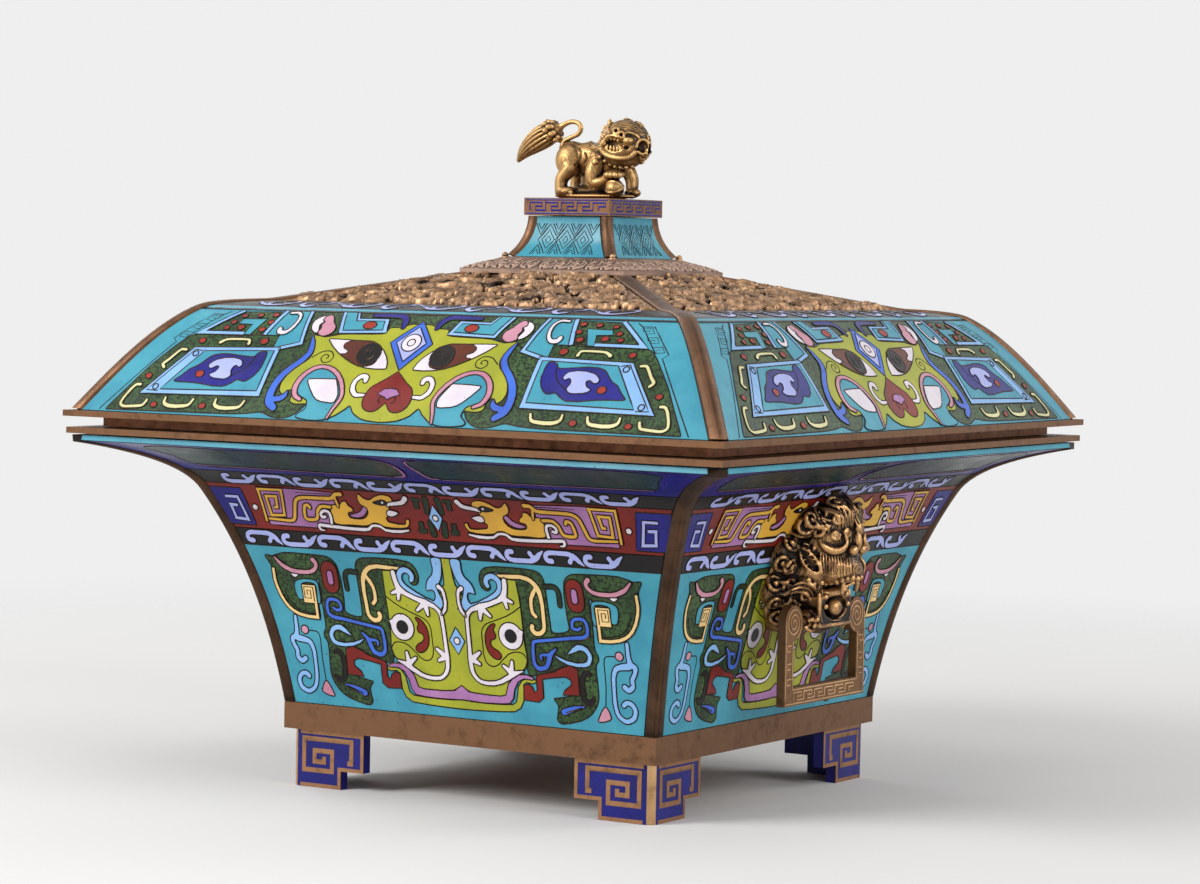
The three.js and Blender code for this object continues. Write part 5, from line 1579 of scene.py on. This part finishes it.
    # Crown: fine hair swept up from the brow
    for i in range(-7, 8):
        line = [clay.skin((131, 1.35 * i * spread, z), (-1, 0, -0.2)) for z, spread in
                ((112.6, 0.9), (115.6, 1.0), (118.4, 1.1), (121, 1.25))]
        clay.cord(line, [0.3, 0.65, 0.6, 0.3], 0.2)

    # Open mouth, then the jaw: a tray with a raised rim and a pearl, bored for the bail's pins
    clay.ball((120, 0, 86), (8.6, 10.4, 3.0), 0.6, cut=True)
    clay.ball((113, 0, 84.6), (4.2, 8.6, 2.6), 0.8)
    clay.block((109, 0, 77.4), (5.2, 11.6, 5.0), 1.2, 0.8)
    clay.ball((115.4, 0, 79), (3.4, 9.2, 4.6), 1.0, cut=True)
    rim = [(114.4, -12, 84.6), (114.7, -12.2, 79), (114.8, -11.6, 74.4), (114.6, -8.6, 72.6),
           (115.6, 0, 72.2)]
    rim += [(x, -y, z) for x, y, z in rim[-2::-1]]
    clay.cord(rim, 0.75, 0.3)
    clay.cord([np.array(p) * (1, 0.84, 1) + (0.2, 0, 1.5) for p in rim], 0.35, 0.2)
    clay.ball((114.2, 0, 78.8), 3.4, 0.4)
    for side in (-1, 1):
        clay.ball((115.2, side * 8.4, 83.4), 1.2, 0.3)
        clay.ball((115.6, side * 9, 79.6), 1.1, 0.3)
        fang = [(121.5, side * 5.6, 89.5), (121.4, side * 6, 86.8), (120.6, side * 6.2, 84.6)]
        clay.cord(fang, [1.0, 0.8, 0.3], 0.2)
        clay.cord([pivot + (0, side * 17, 0), pivot + (0, side * 11, 0)], 2.0, 0.05, cut=True)

    # The wall side, cut to the body's face, and the stud through the wall
    h, z = BODY_FACE.h, BODY_FACE.z
    level = clay.low[2] + clay.pitch * np.arange(clay.count[2])
    depth = clay.low[0] + clay.pitch * np.arange(clay.count[0])
    seat = (np.interp(level, z, h) + GAP)[None, :] - depth[:, None]
    clay.field = np.maximum(clay.field, (seat * np.interp(level, z, BODY_FACE.nh)[None, :])[:, None, :])
    h, _, nh, nz = BODY_FACE.station(np.interp(middle, z, BODY_FACE.s))
    clay.cord([(h + k * nh, 0, middle + k * nz) for k in (5, 0, -8)], 2.2, 0.05)

    # Patina and painted shade in the hollows, and patina gathered at the sides of the mane
    vertices, quads, depth = clay.mesh()
    away = np.hypot(vertices[:, 1] / 1.15, vertices[:, 2] - middle)
    depth = depth + 0.55 * smoothly(away, 15, 21) * smoothly(vertices[:, 0], 119, 112)
    for side, q in (("right", 0), ("left", 2)):
        piece(f"cast_mask_{side}", turned(vertices, q), quads, MASK_GILT, "root",
              [f"mask_{side}"], smooth=70, hollow=depth)


def lion_casting():
    """The guardian lion on its pad, its paw on a ball, and the stud through the top plate."""
    clay = Clay((-39.5, -17.5, 225), (29, 10.5, 271.5), 0.34)
    pad_z, drawn_z = 237.4, 237.1

    def at(x, y, z):
        return np.array((x, y, pad_z + z))

    def shown(u, z, lift=0.0):
        return seen(clay, u, drawn_z + z, lift)

    # Pad, haunches, chest and head
    for centre, radii, soft in (((1, -1, 0.9), (18.5, 8, 1.5), 0.3), ((-3, 1, 2), (12, 6.4, 3.4), 0.6),
                                ((2, 1.5, 8), (9, 4.4, 7), 2), ((-10.5, 0, 16), (6.6, 6.4, 7.2), 1.5),
                                ((-2, 0, 17), (9, 5.4, 5.8), 2), ((7, -0.5, 16), (7.2, 6.6, 8), 2),
                                ((15.9, -2.6, 21.65), (10.2, 9.2, 10), 1.5)):
        clay.ball(at(*centre), radii, soft)
    for side in (-1, 1):
        clay.ball(at(-10, side * 4.6, 15.2), (5.4, 3.4, 6.2), 0.8)
        leg = [at(-8.4, side * 5, 12), at(-11.8, side * 5.8, 7.5), at(-12, side * 5.8, 2.5)]
        clay.cord(leg, [3.4, 2.7, 2.6], 0.8)
        clay.ball(at(-9.6, side * 5.8, 2.6), (4.3, 2.9, 2.2), 0.5)
        for k in (-1, 0, 1):
            clay.ball(at(-6.3, side * 5.8 + 1.6 * k, 1.9), (1.3, 0.85, 1.2), 0.2)
    clay.cord([at(11.5, 4, 14), at(14.5, 5.5, 8), at(15, 5, 2.5)], [3.2, 2.8, 2.4], 0.8)
    clay.ball(at(15.6, 4.6, 2.4), (3.6, 2.8, 2), 0.5)
    clay.cord([at(5.4, -6, 15), at(3.8, -7.2, 10), at(4.7, -7.6, 6.6), at(8.6, -7.8, 6.8),
               at(12.6, -8.6, 8.6)],
              [3.5, 3.1, 2.4, 1.9, 1.7], 0.5)

    # Ball under the paw, with crossed ribbons; the paw with its toes
    clay.ball(at(15.8, -9.3, 3.9), 3.7, 0.2)
    clay.ball(at(15.6, -9.2, 9.5), (4.1, 3.4, 1.9), 0.4)
    for k in range(5):
        angle = math.radians(-150 + 30 * k)
        spot = at(15.6 + 3.7 * math.cos(angle), -9.2 + 3.1 * math.sin(angle), 9.1)
        clay.ball(spot, (1.1, 1.1, 1.3), 0.2)
    for tilt in (-0.9, 0.5):
        turn = np.linspace(-2.6, 0.6, 9)
        clay.cord([at(15.8, -9.3, 3.9) + 3.7 * np.array((math.cos(a), math.sin(a) * math.cos(tilt),
                   math.sin(a) * math.sin(tilt))) for a in turn], 0.42, 0.15)

    # Tail and plume: a bare stem that bends over, a rosette of curls, and long ribbed hair
    clay.cord([at(-15.6, 0, 20.5), at(-14.6, 0, 23), at(-11, 0, 24.8), at(-7.8, 0, 26.2), at(-6.7, 0, 28.4),
               at(-8, 0, 30.4), at(-11.2, 0, 31), at(-14.6, 0, 30), at(-17.6, 0, 28.4)],
              [1.3, 1.1, 1, 1, 1, 1, 1, 1.1, 1.6], 0.3, step=0.7)
    plume = np.array([at(-18.4, 0, 27.9), at(-20.4, 0, 27.2), at(-25, 0, 25), at(-30, 0, 22),
                      at(-34.2, 0, 18.6), at(-37, 0, 15)])
    thick = np.array([2.6, 4.1, 4.3, 3.6, 2.2, 0.5])
    clay.cord(plume, thick - 0.2, 0.8)
    across = np.cross(np.gradient(plume, axis=0), (0, 1, 0))
    across /= np.linalg.norm(across, axis=1)[:, None]
    for k in range(16):
        angle = 2 * math.pi * k / 16
        ring = plume + thick[:, None] * (math.cos(angle) * across + math.sin(angle) * np.array((0, 1, 0)))
        clay.cord(ring[1:], [0.5, 0.75, 0.7, 0.5, 0.3], 0.12)
        clay.ball(ring[1] + (0.9 if k % 2 else -1.0, 0, 0), 1.25, 0.15)
        if k % 2:
            clay.ball(0.5 * (ring[0] + ring[1]) + (0.8, 0, 0), 1.2, 0.15)

    # Face: open grin with teeth, curled nostrils, the beaded beard
    teeth = [(shown(u, z, -1.1), half) for u, z, half in
             ((5.2, 20.3, 1.7), (6.5, 20, 1.7), (7.8, 19.8, 1.7), (9.1, 19.8, 1.6), (10.3, 20.1, 1.3),
              (5.4, 23.8, 0.9), (6.7, 24.1, 1.0), (8, 23.9, 1.0), (9.3, 23.3, 0.9))]
    clay.ball(shown(7.7, 21.7, -0.4), (4.4, 3.6, 3.0), 0.4, cut=True)
    for spot, half in teeth:
        clay.ball(spot, (0.62, 0.62, half), 0.12)
    for line, size in (([(3.4, 20), (3.6, 22.8), (5.2, 24.9), (7.6, 25.2), (9.8, 24.2), (11.4, 22.4),
                         (12, 19.8)], 0.6),
                       ([(3, 19.3), (4.3, 17.9), (7.2, 16.6), (11.2, 16.2), (14.6, 17), (16.4, 18.6)], 1.0),
                       ([(5.6, 26.4), (5.2, 28.4), (6.4, 30.2)], 0.6),
                       ([(11.7, 26.2), (13.8, 26.4), (16.3, 25.6), (18, 24)], 0.6)):
        clay.cord([shown(u, z, 0.2) for u, z in line], size, 0.25, step=0.6)
    for u, z in ((8.5, 27.2), (10.6, 25.5)):
        ring = [shown(u + 1.15 * math.cos(a), z + 1.25 * math.sin(a), 0.4)
                for a in np.linspace(0, 2 * math.pi, 11)]
        clay.ball(shown(u, z), 0.8, 0.2, cut=True)
        clay.cord(ring, 0.5, 0.15, step=0.4)
    clay.ball(shown(12.6, 20.4), (1.3, 1.3, 0.8), 0.3, cut=True)
    clay.ball(shown(13.4, 23.2, -0.5), (2.2, 2.0, 1.7), 0.6)
    for u, z, r in ((2.2, 16.7, 0.9), (4.3, 15.2, 0.9), (6.4, 13.8, 0.9), (8.5, 12.9, 0.9), (10.6, 12.6, 0.9),
                    (12.8, 12.6, 0.9), (15.1, 13.1, 0.9), (16.3, 12, 0.8)):
        clay.ball(shown(u, z, 0.3), r, 0.25)

    # Ear scroll, mane lines over the crown and curls round the head
    lobe = shown(19.4, 20.8, -0.2)
    clay.ball(lobe, (3.4, 2.6, 3.7), 0.4)
    clay.ball(lobe + 2.2 * VIEW_BACK, (2.3, 2.2, 2.7), 0.3, cut=True)
    up = np.array((0, 0, 1))
    clay.cord([lobe + 1.9 * VIEW_BACK + 2.5 * math.cos(a) * VIEW_ACROSS + 2.9 * math.sin(a) * up
               for a in np.linspace(-2.4, 3.2, 12)], 0.6, 0.2, step=0.5)
    for k in range(8):
        radius = 9.4 - 1.0 * k
        line = [shown(12.6 + radius * math.cos(a), 22.8 + 0.93 * radius * math.sin(a), 0.22)
                for a in np.linspace(math.radians(138 - 6 * k), math.radians(24 + 5 * k), 8)]
        clay.cord(line, 0.34, 0.2, cut=True)
    for u, z, r in ((5.2, 30.6, 1.4), (3.5, 27.9, 1.3), (2.6, 24.7, 1.3), (2.8, 21.6, 1.2), (22, 27.4, 1.3),
                    (22.9, 23.8, 1.2), (21.5, 18.5, 1.4), (19.3, 15.1, 1.4), (17.8, 12.1, 1.2)):
        lock(clay, shown(u, z, 0.1), r, 0.6, (0.5, -0.8, 0.3), 1.4)
    for u, z, r in [(-0.5, 20.7, 1.1), (-0.9, 17.6, 1.1), (0.2, 14.6, 1.1)]:
        lock(clay, shown(u, z, 0.1), r, 0.5, (0.3, -0.9, 0.1), 1.3)
    for level, turns in ((0.25, 9), (0.75, 8), (1.4, 6), (3.5, 3)):
        for k in range(turns):
            angle = 2 * math.pi * k / turns + level
            out = np.array((math.cos(angle), level, math.sin(angle)))
            out /= np.linalg.norm(out)
            if out[2] > -0.55:
                spot = clay.skin(at(15.9, -2.6, 21.8) + 16 * out, -out)
                lock(clay, spot, 2.3, 0.65, out, 1.4, 1 if k % 2 else -1)

    # Grooves on the haunch, and the stud
    for line in ([(-6.5, 20.7), (-5.5, 18.5), (-5.9, 15.6), (-7.8, 13.4)],
                 [(-3.9, 18.5), (-3.1, 16.1), (-4.4, 13.6)]):
        clay.cord([shown(u, z, 0.1) for u, z in line], 0.4, 0.3, cut=True)
    clay.cord([at(0, 0, 2), at(0, 0, -11.4)], 2.0, 0.1)
    # Patina and painted shade in the hollows, and patina on the pad
    vertices, quads, depth = clay.mesh()
    depth = depth + 0.5 * smoothly(vertices[:, 2], pad_z + 4.1, pad_z + 2.1)
    piece("cast_lion", vertices, quads, LION_GILT, "lid", ["lion_finial"], smooth=70,
          hollow=depth)


# Carried-over solids: new finish and softened edges

def finish_node(node, material, bevel=0.0):
    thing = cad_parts[node]
    thing.data.materials.clear()
    thing.data.materials.append(material)
    if bevel:
        soften = thing.modifiers.new("soft_edges", "BEVEL")
        soften.width, soften.segments, soften.limit_method = bevel * MM, 3, "ANGLE"
        soften.angle_limit = math.radians(35)
        soften.harden_normals = False


def solids():
    """The solids that stay as they are, each with a finish and all but the bottom plate with a softened edge.
    """
    for node, width in (("plinth_band", 1.1), ("rim_flange", 0.5), ("lid_flange", 0.5)):
        finish_node(node, GILT, bevel=width)
    finish_node("top_plate", GILT, bevel=0.5)
    finish_node("rim_collar", COPPER, bevel=0.3)
    finish_node("bottom_plate", COPPER)
    for node in ("mask_nut_left", "mask_nut_right", "finial_nut"):
        finish_node(node, COPPER, bevel=0.3)
    for corner in CORNERS:
        finish_node(f"foot_{corner}", COBALT_FOOT, bevel=0.6)
    finish_node("lid_skirt", PALE_PATINA, bevel=0.3)
    for side in ("left", "right"):
        finish_node(f"bail_{side}", BAIL_GILT, bevel=0.5)


# Camera, light and floor

CAMERA_AZIMUTH, CAMERA_ELEVATION, CAMERA_ROLL = (math.radians(a) for a in (32.0326, 2.8383, 1.1008))
CAMERA_DISTANCE = 1479.0
AIM_ACROSS, AIM_UP = 4.45, 138.6
FOCAL_PIXELS, FRAME_PIXELS = 3636.7, 1200


def camera():
    """The camera that was fitted to the photo."""
    az, el, roll = CAMERA_AZIMUTH, CAMERA_ELEVATION, CAMERA_ROLL
    back = Vector((math.sin(az) * math.cos(el), -math.cos(az) * math.cos(el), math.sin(el)))
    right = Vector((math.cos(az), math.sin(az), 0))
    up = back.cross(right)
    right, up = right * math.cos(roll) + up * math.sin(roll), up * math.cos(roll) - right * math.sin(roll)
    aim = Vector((0, 0, AIM_UP)) + Vector((math.cos(az), math.sin(az), 0)) * AIM_ACROSS
    data = bpy.data.cameras.new("camera")
    data.sensor_fit, data.sensor_width = "HORIZONTAL", 36.0
    data.lens = FOCAL_PIXELS / FRAME_PIXELS * data.sensor_width
    data.clip_start, data.clip_end = 0.05, 50
    eye = bpy.data.objects.new("camera", data)
    bpy.context.scene.collection.objects.link(eye)
    turn = Matrix((right, up, back)).transposed().to_4x4()
    eye.matrix_world = Matrix.Translation((aim + back * CAMERA_DISTANCE) * MM) @ turn
    bpy.context.scene.camera = eye


def softbox(name, azimuth, elevation, distance, power):
    """A square lamp that looks at the burner; azimuth is 0 in front and 90 at the right."""
    data = bpy.data.lights.new(name, "AREA")
    data.shape, data.size, data.energy = "SQUARE", 0.8, power
    lamp = bpy.data.objects.new(name, data)
    bpy.context.scene.collection.objects.link(lamp)
    az, el = math.radians(azimuth), math.radians(elevation)
    way = Vector((math.sin(az) * math.cos(el), -math.cos(az) * math.cos(el), math.sin(el)))
    lamp.location = way * distance + Vector((0, 0, 0.12))
    lamp.rotation_euler = way.to_track_quat("Z", "Y").to_euler()


def studio():
    """The lamps, and a world that is pale to the camera and to mirrors and dimmer as a lamp."""
    softbox("key", -30, 30, 1.7, 24)
    softbox("fill", 80, 22, 1.8, 12)
    softbox("top", 30, 76, 1.6, 3)
    softbox("right_rim", 138, 30, 1.8, 7)
    softbox("left_rim", -112, 30, 1.8, 6)
    world = bpy.data.worlds.new("world")
    bpy.context.scene.world = world
    world.use_nodes = True
    nodes, links = world.node_tree.nodes, world.node_tree.links
    plain = nodes["Background"]
    plain.inputs["Color"].default_value = (1, 1, 1, 1)
    plain.inputs["Strength"].default_value = 0.3
    shown = nodes.new("ShaderNodeBackground")
    shown.inputs["Color"].default_value = (0.86, 0.86, 0.86, 1)
    shown.inputs["Strength"].default_value = 1.0
    path = nodes.new("ShaderNodeLightPath")
    seen_rays = path.outputs["Is Camera Ray"]
    for kind in ("Is Glossy Ray", "Is Transmission Ray"):
        either = nodes.new("ShaderNodeMath")
        either.operation = "MAXIMUM"
        links.new(seen_rays, either.inputs[0])
        links.new(path.outputs[kind], either.inputs[1])
        seen_rays = either.outputs[0]
    mixed = nodes.new("ShaderNodeMixShader")
    links.new(seen_rays, mixed.inputs[0])
    links.new(plain.outputs[0], mixed.inputs[1])
    links.new(shown.outputs[0], mixed.inputs[2])
    links.new(mixed.outputs[0], nodes["World Output"].inputs["Surface"])
    bpy.context.scene.view_settings.view_transform = "Standard"


def floor():
    """Pale ground that fades out with distance, so that it has no far edge."""
    mesh = bpy.data.meshes.new("floor")
    mesh.from_pydata([(-6, -6, 0), (6, -6, 0), (6, 6, 0), (-6, 6, 0)], [], [(0, 1, 2, 3)])
    ground = bpy.data.objects.new("floor", mesh)
    bpy.context.scene.collection.objects.link(ground)
    shader = Shader("floor_paper")
    tone = shader.mix(shader.noise(3, 2), linear(222, 221, 219), linear(228, 227, 225))
    shader.set(Base_Color=tone, Roughness=0.85)
    away = shader.node("VectorMath", {0: shader.place}, operation="LENGTH").outputs["Value"]
    clear = shader.nodes.new("ShaderNodeBsdfTransparent")
    faded = shader.nodes.new("ShaderNodeMixShader")
    shader.links.new(shader.between(away, 0.28, 0.95), faded.inputs[0])
    shader.links.new(shader.surface.outputs[0], faded.inputs[1])
    shader.links.new(clear.outputs[0], faded.inputs[2])
    shader.links.new(faded.outputs[0], shader.nodes["Material Output"].inputs["Surface"])
    mesh.materials.append(shader.material)


camera()
studio()
floor()
solids()
strips_and_walls()
body_field()
body_bands()
lid_field()
neck_field()
pierced_panels()
skirt_leaves()
plate_fret()
foot_frets()
bail_frets()
neck_knobs()
mask_casting()
lion_casting()
